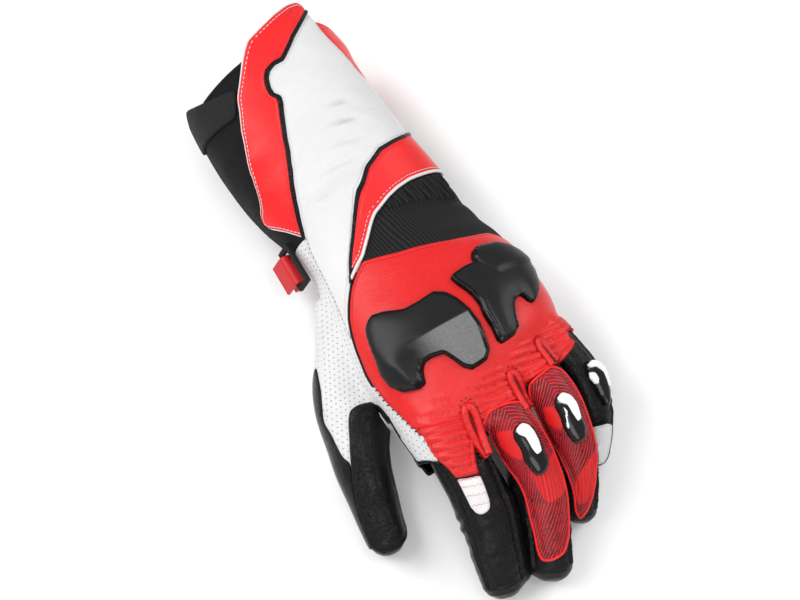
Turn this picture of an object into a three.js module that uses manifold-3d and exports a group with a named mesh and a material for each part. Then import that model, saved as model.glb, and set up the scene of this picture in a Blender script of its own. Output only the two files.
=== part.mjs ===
// Long racing glove for the left hand, lying palm down, in millimetres.
// +Y runs from the fingertips to the cuff, +X to the little finger, +Z up from the table.
// The sewn tube of hand, wrist and cuff is one swept section; fingers and thumb are bent tubes.
// Every leather panel is a wall cut from those surfaces, and the armour sits on the panels.

import * as THREE from "three";
import { mergeVertices } from "three/addons/utils/BufferGeometryUtils.js";
import Module from "manifold-3d";

const wasm = await Module();
wasm.setup();

// Driving dimensions
const LEATHER = 2.0; // wall of one padded leather layer
const SEAM_GAP = 0.6; // clear width between two panels in one layer
const LAYER_GAP = 1.0; // clear height between two layers
const SECOND_TOP = LAYER_GAP + LEATHER; // outside of the second layer
const CUFF_END = 147; // y of the cuff's open end on the middle line
const CUFF_START = 52; // y where the inner cuff meets the hand
const HAND_END = -80; // y where the hand opens to the fingers, on the middle line
const TUBE_CLEARANCE = 0.4; // round each finger where it passes the hand
const PIPING_RADIUS = 1.0;

// Hand, wrist and cuff: one row for each cross-section
const BODY = [
  { y: 166, left: -47, right: 44, floor: -1.2, top: 68 },
  { y: 128, left: -48, right: 47, floor: -1.2, top: 68 },
  { y: 96, left: -47, right: 47, floor: -1, top: 65 },
  { y: 74, left: -43, right: 49, floor: 1, top: 60 },
  { y: 52, left: -36, right: 53, floor: 4, top: 55 },
  { y: 32, left: -34, right: 55, floor: 4, top: 53 },
  { y: 12, left: -36, right: 60, floor: 1, top: 56 },
  { y: -8, left: -40, right: 66, floor: -1, top: 61 },
  { y: -32, left: -42, right: 68, floor: -1, top: 64 },
  { y: -58, left: -38, right: 67, floor: 3, top: 62 },
  { y: -84, left: -37, right: 66, floor: 10, top: 54 },
];
const ROUND_TOP = 2.4; // superellipse exponent of the back of the hand
const ROUND_FLOOR = 3.4; // and of the side that lies on the table

// Both ends of the tube are cut aslant: y moves by a share of x that grows towards the end
const KNUCKLE_SLANT = { from: -40, to: -80, share: 0.4, pivot: 14 };
const PALM_SLANT = 0.3; // part of the knuckle slant that is left on the palm side
const CUFF_SLANT = { from: 100, to: 147, share: 0.2, pivot: 0 };

// Fingers and thumb: one row for each section along the centreline
const DIGITS = {
  index_finger: [
    { x: -19, y: -58, z: 42, wide: 14, high: 15 },
    { x: -18, y: -88, z: 41, wide: 15, high: 14 },
    { x: -20, y: -118, z: 32, wide: 14.3, high: 13 },
    { x: -24, y: -137, z: 22, wide: 13.3, high: 12 },
    { x: -27, y: -151, z: 12.5, wide: 11.8, high: 10.5 },
  ],
  middle_finger: [
    { x: 8, y: -58, z: 43, wide: 12.5, high: 14 },
    { x: 13, y: -90, z: 43, wide: 12.5, high: 12.8 },
    { x: 12.5, y: -118, z: 33, wide: 12, high: 12 },
    { x: 8, y: -138, z: 21.5, wide: 11.5, high: 11.5 },
    { x: 3, y: -152, z: 12.5, wide: 10.5, high: 10.5 },
  ],
  ring_finger: [
    { x: 34, y: -56, z: 42, wide: 11.5, high: 13 },
    { x: 39.5, y: -86, z: 42, wide: 11.8, high: 12 },
    { x: 38.5, y: -110, z: 32, wide: 11.5, high: 12 },
    { x: 33, y: -126, z: 21, wide: 10.7, high: 11.2 },
    { x: 27, y: -138, z: 12, wide: 9.8, high: 10 },
  ],
  little_finger: [
    { x: 54, y: -50, z: 38, wide: 10.5, high: 13 },
    { x: 60, y: -77, z: 36, wide: 11, high: 12 },
    { x: 59, y: -95, z: 28, wide: 10.5, high: 11 },
    { x: 55, y: -107, z: 19, wide: 10, high: 10.3 },
    { x: 49, y: -116, z: 11, wide: 9.5, high: 9.5 },
  ],
  thumb: [
    { x: -24, y: 16, z: 21, wide: 17, high: 17 },
    { x: -35, y: -6, z: 21, wide: 20.5, high: 18.5 },
    { x: -48, y: -32, z: 20, wide: 20.5, high: 17.5 },
    { x: -58, y: -58, z: 18, wide: 15, high: 15 },
    { x: -64, y: -82, z: 15, wide: 11.8, high: 12.5 },
    { x: -67.5, y: -102, z: 12, wide: 10, high: 10.5 },
  ],
};
const ROUND_DIGIT = 2.3;

const SMOOTH = (a, b, c, d, t) => {
  const t2 = t * t;
  const t3 = t2 * t;
  return 0.5 * (2 * b + (c - a) * t + (2 * a - 5 * b + 4 * c - d) * t2 + (3 * b - a - 3 * c + d) * t3);
};

// Smooth value of every column of a table at place u, counted in rows from 0
function tableAt(rows, u) {
  const i = Math.min(rows.length - 2, Math.max(0, Math.floor(u)));
  const row = (k) => rows[Math.min(rows.length - 1, Math.max(0, k))];
  const out = {};
  for (const key of Object.keys(rows[0])) {
    out[key] = SMOOTH(row(i - 1)[key], row(i)[key], row(i + 1)[key], row(i + 2)[key], u - i);
  }
  return out;
}

// Section of the hand and cuff tube at y
function bodyAt(y) {
  let i = 0;
  while (i < BODY.length - 2 && BODY[i + 1].y > y) i += 1;
  const u = i + (BODY[i].y - y) / (BODY[i].y - BODY[i + 1].y);
  return tableAt(BODY, u);
}

const signedPower = (value, power) => Math.sign(value) * Math.abs(value) ** power;
const radians = THREE.MathUtils.degToRad;

const slantAt = (slant, x, y) =>
  slant.share * (x - slant.pivot) * THREE.MathUtils.smoothstep((y - slant.from) / (slant.to - slant.from), 0, 1);
const onTable = (z, lift) => Math.max(z, Math.max(-lift, 0));

// Point on the tube at an angle from straight up (positive to the little finger), raised by lift
function bodyPoint(angle, y, lift = 0) {
  const s = bodyAt(y);
  const a = radians(angle);
  const wide = (s.right - s.left) / 2 + lift;
  const high = (s.top - s.floor) / 2 + lift;
  const round = Math.cos(a) > 0 ? ROUND_TOP : ROUND_FLOOR;
  const x = (s.left + s.right) / 2 + wide * signedPower(Math.sin(a), 2 / round);
  const z = (s.top + s.floor) / 2 + high * signedPower(Math.cos(a), 2 / round);
  const knuckles = THREE.MathUtils.lerp(PALM_SLANT, 1, THREE.MathUtils.smoothstep(Math.cos(a), -0.4, 0.4));
  const slanted = y + knuckles * slantAt(KNUCKLE_SLANT, x, y) + slantAt(CUFF_SLANT, x, y);
  return new THREE.Vector3(x, slanted, onTable(z, lift));
}

// Point on a digit at an angle from its top and a place along it, in rows; past the last row it rounds off
function digitPoint(rows, angle, place, lift = 0) {
  const last = rows.length - 1;
  const u = Math.min(place, last);
  const s = tableAt(rows, u);
  const ahead = tableAt(rows, Math.min(u + 0.05, last));
  const behind = tableAt(rows, Math.max(u - 0.05, 0));
  const along = new THREE.Vector3(ahead.x - behind.x, ahead.y - behind.y, ahead.z - behind.z).normalize();
  const side = new THREE.Vector3(0, 0, 1).cross(along).normalize().negate();
  const up = new THREE.Vector3().crossVectors(along, side).normalize();
  if (up.z < 0) up.negate();
  const past = Math.min(Math.max(place - last, 0), 1);
  const shrink = Math.sqrt(Math.max(0, 1 - past * past));
  const a = radians(angle);
  const point = new THREE.Vector3(s.x, s.y, s.z)
    .addScaledVector(along, past * (s.high + lift))
    .addScaledVector(side, Math.sign(side.x) * shrink * (s.wide + lift) * signedPower(Math.sin(a), 2 / ROUND_DIGIT))
    .addScaledVector(up, shrink * (s.high + lift) * signedPower(Math.cos(a), 2 / ROUND_DIGIT));
  point.z = onTable(point.z, lift);
  return point;
}

const span = (from, to, steps) => Array.from({ length: steps + 1 }, (_, i) => from + ((to - from) * i) / steps);

// Geometry from points and triangles, turned to face out if need be
function facesOut(points, faces) {
  let six = 0;
  for (const [a, b, c] of faces) six += points[a].dot(new THREE.Vector3().crossVectors(points[b], points[c]));
  const index = faces.flatMap(([a, b, c]) => (six < 0 ? [a, c, b] : [a, b, c]));
  const geometry = new THREE.BufferGeometry().setFromPoints(points);
  geometry.setIndex(index);
  return geometry;
}

// Closed skin over a stack of rings; an end of the stack is closed by a fan, or the ends are joined
function ringsToSkin(rings, joined = false) {
  const n = rings[0].length;
  const points = rings.flat();
  const faces = [];
  const pairs = joined ? rings.length : rings.length - 1;
  for (let r = 0; r < pairs; r += 1) {
    const low = r * n;
    const high = ((r + 1) % rings.length) * n;
    for (let i = 0; i < n; i += 1) {
      const j = (i + 1) % n;
      faces.push([low + i, low + j, high + j], [low + i, high + j, high + i]);
    }
  }
  if (!joined) {
    for (const [ring, flip] of [[rings[0], true], [rings[rings.length - 1], false]]) {
      const start = ring === rings[0] ? 0 : (rings.length - 1) * n;
      const middle = ring.reduce((sum, p) => sum.add(p), new THREE.Vector3()).divideScalar(n);
      points.push(middle);
      for (let i = 0; i < n; i += 1) {
        const j = (i + 1) % n;
        faces.push(flip ? [start + j, start + i, points.length - 1] : [start + i, start + j, points.length - 1]);
      }
    }
  }
  return facesOut(points, faces);
}

// Wall between two grids of points of the same size, closed round its four edges
function gridsToWall(outer, inner) {
  const rows = outer.length;
  const columns = outer[0].length;
  const points = [...outer.flat(), ...inner.flat()];
  const at = (r, c, layer) => layer * rows * columns + r * columns + c;
  const faces = [];
  for (let r = 0; r < rows - 1; r += 1) {
    for (let c = 0; c < columns - 1; c += 1) {
      faces.push([at(r, c, 0), at(r, c + 1, 0), at(r + 1, c + 1, 0)], [at(r, c, 0), at(r + 1, c + 1, 0), at(r + 1, c, 0)]);
      faces.push([at(r, c, 1), at(r + 1, c + 1, 1), at(r, c + 1, 1)], [at(r, c, 1), at(r + 1, c, 1), at(r + 1, c + 1, 1)]);
    }
  }
  const rim = [];
  for (let c = 0; c < columns - 1; c += 1) rim.push([0, c, 0, c + 1]);
  for (let r = 0; r < rows - 1; r += 1) rim.push([r, columns - 1, r + 1, columns - 1]);
  for (let c = columns - 1; c > 0; c -= 1) rim.push([rows - 1, c, rows - 1, c - 1]);
  for (let r = rows - 1; r > 0; r -= 1) rim.push([r, 0, r - 1, 0]);
  for (const [r1, c1, r2, c2] of rim) {
    faces.push([at(r1, c1, 0), at(r1, c1, 1), at(r2, c2, 1)], [at(r1, c1, 0), at(r2, c2, 1), at(r2, c2, 0)]);
  }
  return facesOut(points, faces);
}

// Geometry to solid and back, for cuts and joins
function toSolid(geometry) {
  const bare = geometry.clone();
  for (const name of Object.keys(bare.attributes)) if (name !== "position") bare.deleteAttribute(name);
  const merged = mergeVertices(bare, 1e-4);
  return new wasm.Manifold(
    new wasm.Mesh({
      numProp: 3,
      vertProperties: new Float32Array(merged.attributes.position.array),
      triVerts: new Uint32Array(merged.index.array),
    }),
  );
}

function toGeometry(solid) {
  const mesh = solid.getMesh();
  const geometry = new THREE.BufferGeometry();
  const points = new Float32Array(mesh.numVert * 3);
  for (let i = 0; i < mesh.numVert; i += 1) {
    points.set(mesh.vertProperties.subarray(i * mesh.numProp, i * mesh.numProp + 3), i * 3);
  }
  geometry.setAttribute("position", new THREE.BufferAttribute(points, 3));
  geometry.setIndex(new THREE.BufferAttribute(mesh.triVerts, 1));
  return geometry;
}

// The largest piece of a solid, which leaves crumbs of a cut behind
function largest(solid) {
  return solid.decompose().sort((a, b) => b.volume() - a.volume())[0];
}

// Materials
const material = (colour, roughness, metalness = 0) =>
  new THREE.MeshStandardMaterial({ color: new THREE.Color(...colour), roughness, metalness });
const RED = material([0.82, 0.03, 0.03], 0.5);
const WHITE = material([0.82, 0.82, 0.82], 0.5);
const BLACK_LEATHER = material([0.012, 0.012, 0.012], 0.42);
const BLACK_FABRIC = material([0.015, 0.015, 0.015], 0.85);
const ARMOUR = material([0.02, 0.02, 0.022], 0.3);
const WHITE_PLASTIC = material([0.85, 0.85, 0.85], 0.25);
const PRINTED = material([0.45, 0.02, 0.03], 0.45);

const glove = new THREE.Group();
function add(name, geometry, finish) {
  const mesh = new THREE.Mesh(geometry, finish);
  mesh.name = name;
  glove.add(mesh);
}

// Grid with its four edges moved out along the grid's own lines
function widened(grid, by) {
  const away = (p, q) => p.clone().add(p.clone().sub(q).setLength(by));
  const wide = grid.map((line) => {
    const n = line.length;
    return [away(line[0], line[1]), ...line.slice(1, -1), away(line[n - 1], line[n - 2])];
  });
  const last = wide.length - 1;
  return wide.map((line, r) => {
    if (r > 0 && r < last) return line;
    return line.map((p, c) => away(p, wide[r === 0 ? 1 : last - 1][c]));
  });
}

// Wall over a patch of a surface. The table has a row for each line across the patch: from (a1, s1) to
// (a2, s2), an angle round the form and a station along it.
function patchWall(surface, table, across, down, low, high, dome = 0, wider = 0) {
  const rows = table.map(([a1, s1, a2, s2]) => ({ a1, s1, a2, s2 }));
  const grid = (base, swell) =>
    span(0, 1, down).map((v) => {
      const line = tableAt(rows, v * (rows.length - 1));
      return span(0, 1, across).map((u) => {
        const bulge = swell * Math.sqrt(Math.sin(Math.PI * u) * Math.sin(Math.PI * v));
        return surface(line.a1 + (line.a2 - line.a1) * u, line.s1 + (line.s2 - line.s1) * u, base + bulge);
      });
    });
  const [outer, inner] = [grid(high, dome), grid(low, 0)];
  return wider > 0 ? gridsToWall(widened(outer, wider), widened(inner, wider)) : gridsToWall(outer, inner);
}
const onBody = (angle, y, lift) => bodyPoint(angle, y, lift);
const onDigit = (name) => (angle, place, lift) => digitPoint(DIGITS[name], angle, place, lift);

// Round cord along points of a surface
const CORD_SIDES = 3; // for each half turn
function cord(points, radius, steps) {
  const section = new THREE.Shape();
  section.absarc(0, 0, radius, 0, 2 * Math.PI);
  return new THREE.ExtrudeGeometry(section, {
    curveSegments: CORD_SIDES,
    steps,
    extrudePath: new THREE.CatmullRomCurve3(points),
    bevelEnabled: false,
  });
}
const cordOnBody = (line, radius, steps, lift) => cord(line.map(([a, y]) => bodyPoint(a, y, lift)), radius, steps);

// The hand tube, closed at the knuckles
const HAND_SIDES = 22;
const HAND_STEPS = 7;
function handSolid(lift) {
  const open = CUFF_START - SEAM_GAP + (lift < 0 ? 1 : 0) + Math.max(lift, 0);
  const ring = (y) => span(0, 360, HAND_SIDES).slice(0, -1).map((a) => bodyPoint(a, y, lift));
  return toSolid(ringsToSkin(span(open, HAND_END - lift, HAND_STEPS).map(ring)));
}

// Finger or thumb as a closed form, rounded at the tip
const DIGIT_SIDES = 12;
const DIGIT_STEPS = 6;
const TIP_PLACES = [0.5, 0.85];
function digitSolid(rows, lift) {
  const last = rows.length - 1;
  const places = [...span(0, last, DIGIT_STEPS), ...TIP_PLACES.map((p) => last + p)];
  const ring = (place) => span(0, 360, DIGIT_SIDES).slice(0, -1).map((a) => digitPoint(rows, a, place, lift));
  return toSolid(ringsToSkin(places.map(ring)));
}

const names = Object.keys(DIGITS);
const eachDigit = (lift) => Object.fromEntries(names.map((name) => [name, digitSolid(DIGITS[name], lift)]));
const outside = eachDigit(0);
const inside = eachDigit(-LEATHER);
const clearance = eachDigit(TUBE_CLEARANCE);
const handClearance = handSolid(TUBE_CLEARANCE);

// Fingers and thumb, each a hollow tube of leather that opens into the hand
names.forEach((name, i) => {
  let shell = outside[name].subtract(inside[name]).subtract(handClearance);
  for (const other of names.slice(0, i)) shell = shell.subtract(clearance[other]);
  add(name, toGeometry(largest(shell)), name === "thumb" ? WHITE : BLACK_LEATHER);
});

// The hand: red back, stretch panel at the wrist, and perforated palm round the rest
const handShell = names.reduce((left, name) => left.subtract(inside[name]), handSolid(0).subtract(handSolid(-LEATHER)));
const STRETCH_PANEL = [
  [88, 50, 88, 7.2],
  [62, 50, 64, 10.7],
  [41, 50, 50, 12.8],
  [17, 48, 21, 17],
  [4, 45, 6, 19.2],
  [-3, 41, -3, 20.5],
  [-12, 33, -10, 21.5],
  [-19, 26.5, -17, 22.8],
];
const BACK_PANEL = [
  [-35, 24, 88, 6],
  [-43, 14, 90, -2],
  [-55, 4, 92, -10],
  [-65, -5, 92, -18],
  [-79, -21, 92, -28],
  [-80, -36, 92, -40],
  [-65, -51, 88, -54],
  [-59, -60, 82, -68],
  [-60, HAND_END - 2, 78, HAND_END - 2],
];
const CUTTER_PAST = 1.5; // how far a cutter stands out of the wall on both sides
function cutter(table, across, down, wider) {
  const past = CUTTER_PAST + wider;
  return toSolid(patchWall(onBody, table, across, down, -LEATHER - past, past, 0, wider));
}
const STRETCH_GRID = [4, 9];
const BACK_GRID = [8, 9];
add("wrist_stretch_panel", toGeometry(largest(handShell.intersect(cutter(STRETCH_PANEL, ...STRETCH_GRID, 0)))), BLACK_FABRIC);
add("hand_back", toGeometry(largest(handShell.intersect(cutter(BACK_PANEL, ...BACK_GRID, 0)))), RED);
const palm = handShell
  .subtract(cutter(STRETCH_PANEL, ...STRETCH_GRID, SEAM_GAP))
  .subtract(cutter(BACK_PANEL, ...BACK_GRID, SEAM_GAP));
add("palm", toGeometry(largest(palm)), WHITE);

// Inner cuff of black fabric, a full tube
const CUFF_SIDES = 24;
const CUFF_STEPS = 5;
const SIDE_DROP = 14; // how much sooner the cuff ends on the little-finger side
function cuffRing(y, lift) {
  const share = (y - CUFF_START) / (CUFF_END - CUFF_START);
  const drop = (a) => SIDE_DROP * share * THREE.MathUtils.smoothstep(Math.sin(radians(a)), 0.6, 1);
  return span(0, 360, CUFF_SIDES).slice(0, -1).map((a) => bodyPoint(a, y - drop(a), lift));
}
const cuffYs = span(CUFF_START, CUFF_END, CUFF_STEPS);
const cuff = [...cuffYs.map((y) => cuffRing(y, 0)), ...[...cuffYs].reverse().map((y) => cuffRing(y, -LEATHER))];
add("inner_cuff", ringsToSkin(cuff, true), BLACK_FABRIC);

// Leather of the cuff, a second layer: the flap with its free edge, the back, and the side panel
const second = (table, across, down) => patchWall(onBody, table, across, down, LAYER_GAP, SECOND_TOP);
const FLAP = [
  [37, 155.5, 36.5, 153],
  [22, 157, 27, 145.5],
  [5, 156.5, 18, 140.5],
  [-8, 149.5, 9, 135.3],
  [-19, 140, -1, 132],
  [-29, 126, -6.5, 120.5],
  [-38, 102, -12, 100],
  [-57, 77, -20.5, 79],
  [-72, 64, -36, 64],
  [-66, 55, -54, 50],
];
add("gauntlet_flap", second(FLAP, 4, 12), RED);
const GAUNTLET_BACK = [
  [40.5, 150, 43, 145],
  [18.5, 133.3, 43, 136],
  [5, 127, 47, 124],
  [0, 118, 55, 112],
  [-6.5, 98, 75, 98],
  [-15.5, 80, 94, 86],
  [-22.5, 70, 94, 79.5],
  [-26, 66, 72, 78],
  [-30, 62, 50, 76],
  [-37.5, 57, 20, 72],
  [-47.5, 49, 3, 62.5],
  [-55, 43, -8.5, 49],
  [-61, 34, -20, 37],
  [-66, 21, -39, 22],
  [-68, 8, -56, 8],
  [-70, 0, -65, 0],
];
add("gauntlet_back", second(GAUNTLET_BACK, 12, 17), WHITE);
const GAUNTLET_SIDE = [
  [46, 142, 118, 131],
  [46, 134, 118, 124],
  [50.5, 124, 118, 116],
  [58.5, 112, 118, 106.5],
  [80, 98.5, 118, 98],
  [98, 88, 118, 88],
];
add("gauntlet_side", second(GAUNTLET_SIDE, 8, 6), RED);
const WEDGE = [
  [88, 72.5, 88, 53.5],
  [57, 69.5, 61, 53.5],
  [26, 65, 41, 53.5],
  [14, 59.5, 24, 52.8],
  [1, 52, 4.5, 49],
  [-5, 47.5, -2.5, 44],
  [-15, 36.5, -12, 35],
];
add("wrist_wedge", patchWall(onBody, WEDGE, 3, 10, LAYER_GAP, SECOND_TOP), RED);

// Piping between those panels
const CORD_LIFT = LAYER_GAP + PIPING_RADIUS + 0.2;
const RIBBON = [[37, 149.5], [24, 140.5], [14, 133.5], [2, 128.5], [-3, 119.5], [-9, 99], [-17.5, 79.5], [-26, 70.5], [-42, 56], [-51, 49.5]];
const WEDGE_BORDER = [[80, 75.2], [55, 72.7], [36, 70.5], [22, 67.5], [11, 61.5], [-1, 54], [-9, 46.5], [-18.5, 35.5], [-25, 28.5]];
const PIPING = [[84, 51.5], [61, 51.3], [41, 51.3], [20, 50.3], [2.5, 46], [-3.5, 41.5], [-12, 33], [-20, 27]];
const BACK_EDGE = [[-33, 21], [-45, 12], [-57.5, 1], [-68, -8], [-80, -22], [-81, -37], [-67, -50], [-60, -60]];
add("gauntlet_ribbon", cordOnBody(RIBBON, PIPING_RADIUS, 24, CORD_LIFT), BLACK_LEATHER);
add("wedge_border", cordOnBody(WEDGE_BORDER, PIPING_RADIUS, 20, CORD_LIFT), BLACK_LEATHER);
add("wedge_piping", cordOnBody(PIPING, PIPING_RADIUS, 20, CORD_LIFT), WHITE);
const backSeam = toSolid(cordOnBody(BACK_EDGE, PIPING_RADIUS, 18, CORD_LIFT)).subtract(clearance.thumb);
add("back_edge_seam", toGeometry(largest(backSeam)), BLACK_LEATHER);

// Closure of the cuff and strap of the wrist
const CLOSURE = [
  [-86, 158, -32, 138],
  [-97, 152, -35, 132],
  [-100, 143, -38, 126.5],
  [-95, 134, -42, 121.5],
];
add("closure_strap", patchWall(onBody, CLOSURE, 8, 3, LAYER_GAP, LAYER_GAP + 1.6), BLACK_FABRIC);
const WRIST_STRAP = [
  [86, 49, 252, 57],
  [84, 42, 252, 43],
];
add("wrist_strap", patchWall(onBody, WRIST_STRAP, 14, 1, LAYER_GAP, LAYER_GAP + 1.6), BLACK_FABRIC);

// Loop that the strap's tab is threaded through, standing out of the wrist on the thumb side
const LOOP = { long: 24, deep: 11, bar: 2.6, thick: 2.2, angle: -86, y: 43, lift: 5, tilt: -62 };
const loopShape = new THREE.Shape();
const frameCorners = (long, deep) => [[-deep / 2, -long / 2], [deep / 2, -long / 2], [deep / 2, long / 2], [-deep / 2, long / 2]];
loopShape.setFromPoints(frameCorners(LOOP.long, LOOP.deep).map(([x, y]) => new THREE.Vector2(x, y)));
const loopHole = frameCorners(LOOP.long - 2 * LOOP.bar, LOOP.deep - 2 * LOOP.bar).map(([x, y]) => new THREE.Vector2(x, y));
loopShape.holes.push(new THREE.Path(loopHole.reverse()));
const loopSeat = bodyPoint(LOOP.angle, LOOP.y, LOOP.lift);
const loopFrame = new THREE.ExtrudeGeometry(loopShape, { depth: LOOP.thick, bevelEnabled: false })
  .translate(0, 0, -LOOP.thick / 2)
  .rotateY(radians(LOOP.tilt))
  .translate(loopSeat.x, loopSeat.y, loopSeat.z);
add("strap_loop", loopFrame, ARMOUR);

// Folded leather tab round the loop's outer bar
const TAB = { long: 17, leg: 9, leather: 1.6, open: 3.6 };
const tabProfile = new THREE.Shape();
const half = TAB.open / 2;
tabProfile.moveTo(0, half);
tabProfile.absarc(0, 0, half, Math.PI / 2, -Math.PI / 2, true);
tabProfile.lineTo(-TAB.leg, -half);
tabProfile.lineTo(-TAB.leg, -half - TAB.leather);
tabProfile.absarc(0, 0, half + TAB.leather, -Math.PI / 2, Math.PI / 2, false);
tabProfile.lineTo(-TAB.leg, half + TAB.leather);
tabProfile.lineTo(-TAB.leg, half);
const outerBar = (LOOP.deep - LOOP.bar) / 2;
const tab = new THREE.ExtrudeGeometry(tabProfile, { depth: TAB.long, curveSegments: 5, bevelEnabled: false })
  .translate(0, 0, -TAB.long / 2)
  .rotateX(-Math.PI / 2)
  .translate(-outerBar, 0, 0)
  .rotateY(radians(LOOP.tilt))
  .translate(loopSeat.x, loopSeat.y, loopSeat.z);
add("strap_tab", tab, RED);

// Armour over the knuckles: a thick panel cut to an outline seen from above
const GUARD_TOP = 6.5;
const LARGE_GUARD = [
  [-27, -12], [-19, -10.5], [-7, -16], [3, -15], [12, -15], [17, -24], [19, -40], [19, -53], [14, -61], [6, -60.5],
  [1, -50], [-6, -44.5], [-12, -46], [-16, -56], [-24, -55.5], [-31, -48], [-32, -37], [-29.5, -20],
];
const SMALL_GUARD = [
  [40, -5], [51, -6], [58, -12], [63.5, -24], [62, -35], [56, -43], [51, -38.5], [45, -40.5], [40.5, -50], [31, -56],
  [28, -53], [28, -36], [25.5, -23], [22, -15.5], [28, -12], [37, -11],
];
function guard(outline, panel) {
  const shape = new THREE.Shape(outline.map(([x, y]) => new THREE.Vector2(x, y)));
  const prism = new THREE.ExtrudeGeometry(shape, { depth: 90, bevelEnabled: false });
  return largest(toSolid(patchWall(onBody, panel, 12, 10, LAYER_GAP, GUARD_TOP)).intersect(toSolid(prism)));
}
const largeGuard = guard(LARGE_GUARD, [[-62, 0, 20, 0], [-62, -66, 20, -66]]);
const smallGuard = guard(SMALL_GUARD, [[3, 4, 84, 4], [3, -64, 84, -64]]);
add("large_knuckle_guard", toGeometry(largeGuard), ARMOUR);
add("small_knuckle_guard", toGeometry(smallGuard), ARMOUR);

// Rolls of leather in the creases between the fingers, each an upturned U
const ROLL_RADIUS = 1.7;
const ROLL_GAP = 0.55; // clear height over the back of the hand
const ROLLS = [
  [[-23, -77], [-21, -71], [-19, -66], [-16, -64.5], [-13.5, -68], [-13, -73], [-13.5, -77]],
  [[4, -78], [4.5, -75.5], [6.5, -73], [9, -72], [11, -73.5], [12.5, -76], [12.5, -78]],
  [[31, -77], [32, -74], [34, -71.5], [36.5, -70.5], [39, -72], [40.5, -74.5], [41, -77.5]],
];
ROLLS.forEach((line, i) => {
  add(`knuckle_roll_${i + 1}`, cordOnBody(line, ROLL_RADIUS, 12, ROLL_GAP + ROLL_RADIUS), RED);
});

// Panels on the fingers and thumb, a second layer cut clear of the hand and of their neighbours
function digitPanel(name, table, across, down, low, high, dome = 0) {
  let wall = toSolid(patchWall(onDigit(name), table, across, down, low, high, dome)).subtract(handClearance);
  for (const other of names) if (other !== name) wall = wall.subtract(clearance[other]);
  return largest(wall);
}
const INDEX_RIBS = [[-56, 0.82, 14, 0.82], [-46, 1, 16, 1], [-40, 1.13, 30, 1.13], [-34, 1.36, 32, 1.4]];
const INDEX_END = [[-32, 1.43, 28, 1.47], [-26, 1.7, 24, 1.7], [-22, 1.98, 18, 1.98]];
const INDEX_SIDE = [[-112, 0.55, -62, 0.85], [-112, 0.9, -48, 1.1], [-108, 1.2, -42, 1.28]];
const MIDDLE_PATCH = [
  [-40, 0.78, 34, 0.82], [-62, 1.1, 56, 1.1], [-76, 1.6, 52, 1.6], [-58, 2.2, 52, 2.2], [-40, 3.0, 50, 3.0],
  [-32, 3.6, 42, 3.6], [-16, 3.98, 28, 3.98],
];
const RING_PATCH = [
  [-46, 0.74, 22, 0.72], [-70, 1.1, 36, 1.1], [-76, 1.6, 36, 1.6], [-62, 2.25, 38, 2.25], [-30, 2.9, 38, 2.9],
  [-6, 3.5, 32, 3.5], [-2, 3.95, 18, 3.95],
];
const LITTLE_SIDE = [[-22, 2.75, 46, 2.75], [-20, 3.2, 52, 3.2], [-10, 3.9, 50, 3.9]];
const THUMB_PATCH = [
  [-6, 2.3, 40, 2.26], [-10, 2.7, 52, 2.5], [-20, 3.2, 60, 3.2], [-64, 3.35, 72, 3.6], [-66, 4.0, 84, 4.0],
  [-66, 4.9, 80, 4.9],
];
const THUMB_SIDE = [[-62, 1.6, -52, 1.57], [-84, 1.9, -39, 1.9], [-88, 2.4, -52, 2.4], [-88, 2.8, -42, 2.8], [-88, 3.15, -26, 3.15]];
const layer = (name, table, across, down) => toGeometry(digitPanel(name, table, across, down, LAYER_GAP, SECOND_TOP));
add("index_stretch_panel", layer("index_finger", INDEX_RIBS, 5, 6), RED);
add("index_end_panel", layer("index_finger", INDEX_END, 4, 5), WHITE);
add("index_side_panel", layer("index_finger", INDEX_SIDE, 4, 5), WHITE);
add("middle_finger_panel", layer("middle_finger", MIDDLE_PATCH, 6, 10), PRINTED);
add("ring_finger_panel", layer("ring_finger", RING_PATCH, 6, 10), PRINTED);
add("little_finger_panel", layer("little_finger", LITTLE_SIDE, 5, 5), WHITE);
add("thumb_panel", layer("thumb", THUMB_PATCH, 8, 9), BLACK_LEATHER);
add("thumb_side_panel", layer("thumb", THUMB_SIDE, 4, 6), BLACK_LEATHER);

// Hard sliders on the knuckles of three fingers, with a white inlay on each
const SLIDERS = {
  middle_finger: { body: [[-14, 1.12, 16, 1.1], [-18, 1.35, 26, 1.3], [-18, 1.65, 28, 1.6], [-12, 1.9, 20, 1.85]], base: SECOND_TOP },
  ring_finger: { body: [[-10, 1.1, 18, 1.12], [-16, 1.35, 26, 1.4], [-16, 1.7, 28, 1.7], [-8, 2.02, 16, 2.0]], base: SECOND_TOP },
  little_finger: { body: [[4, 1.12, 38, 1.2], [0, 1.45, 50, 1.45], [2, 1.8, 50, 1.8], [12, 2.16, 40, 2.1]], base: 0 },
};
const SLIDER_HIGH = 2.2;
const SLIDER_DOME = 2.2;
const INLAY_GAP = 0.4;
const INLAY_HIGH = 0.9;
for (const [name, slider] of Object.entries(SLIDERS)) {
  const base = slider.base + LAYER_GAP;
  const top = base + SLIDER_HIGH;
  add(`${name}_slider`, toGeometry(digitPanel(name, slider.body, 5, 6, base, top, SLIDER_DOME)), ARMOUR);
  const first = slider.body[0];
  const middle = slider.body[1];
  const inlay = [
    [first[0] + 8, first[1] + 0.06, first[2] - 4, first[3] + 0.06],
    [(middle[0] + middle[2]) / 2, middle[1] + 0.1, middle[2] - 5, middle[3] + 0.12],
  ];
  const inlayLow = top + SLIDER_DOME + INLAY_GAP;
  add(`${name}_inlay`, toGeometry(digitPanel(name, inlay, 3, 3, inlayLow, inlayLow + INLAY_HIGH)), WHITE_PLASTIC);
}

// The tables' zero is moved to the middle of the glove's box
const BOX_MIDDLE = { x: -3.6, y: -0.5 };
glove.position.set(-BOX_MIDDLE.x, -BOX_MIDDLE.y, 0);

export default glove;
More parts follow.
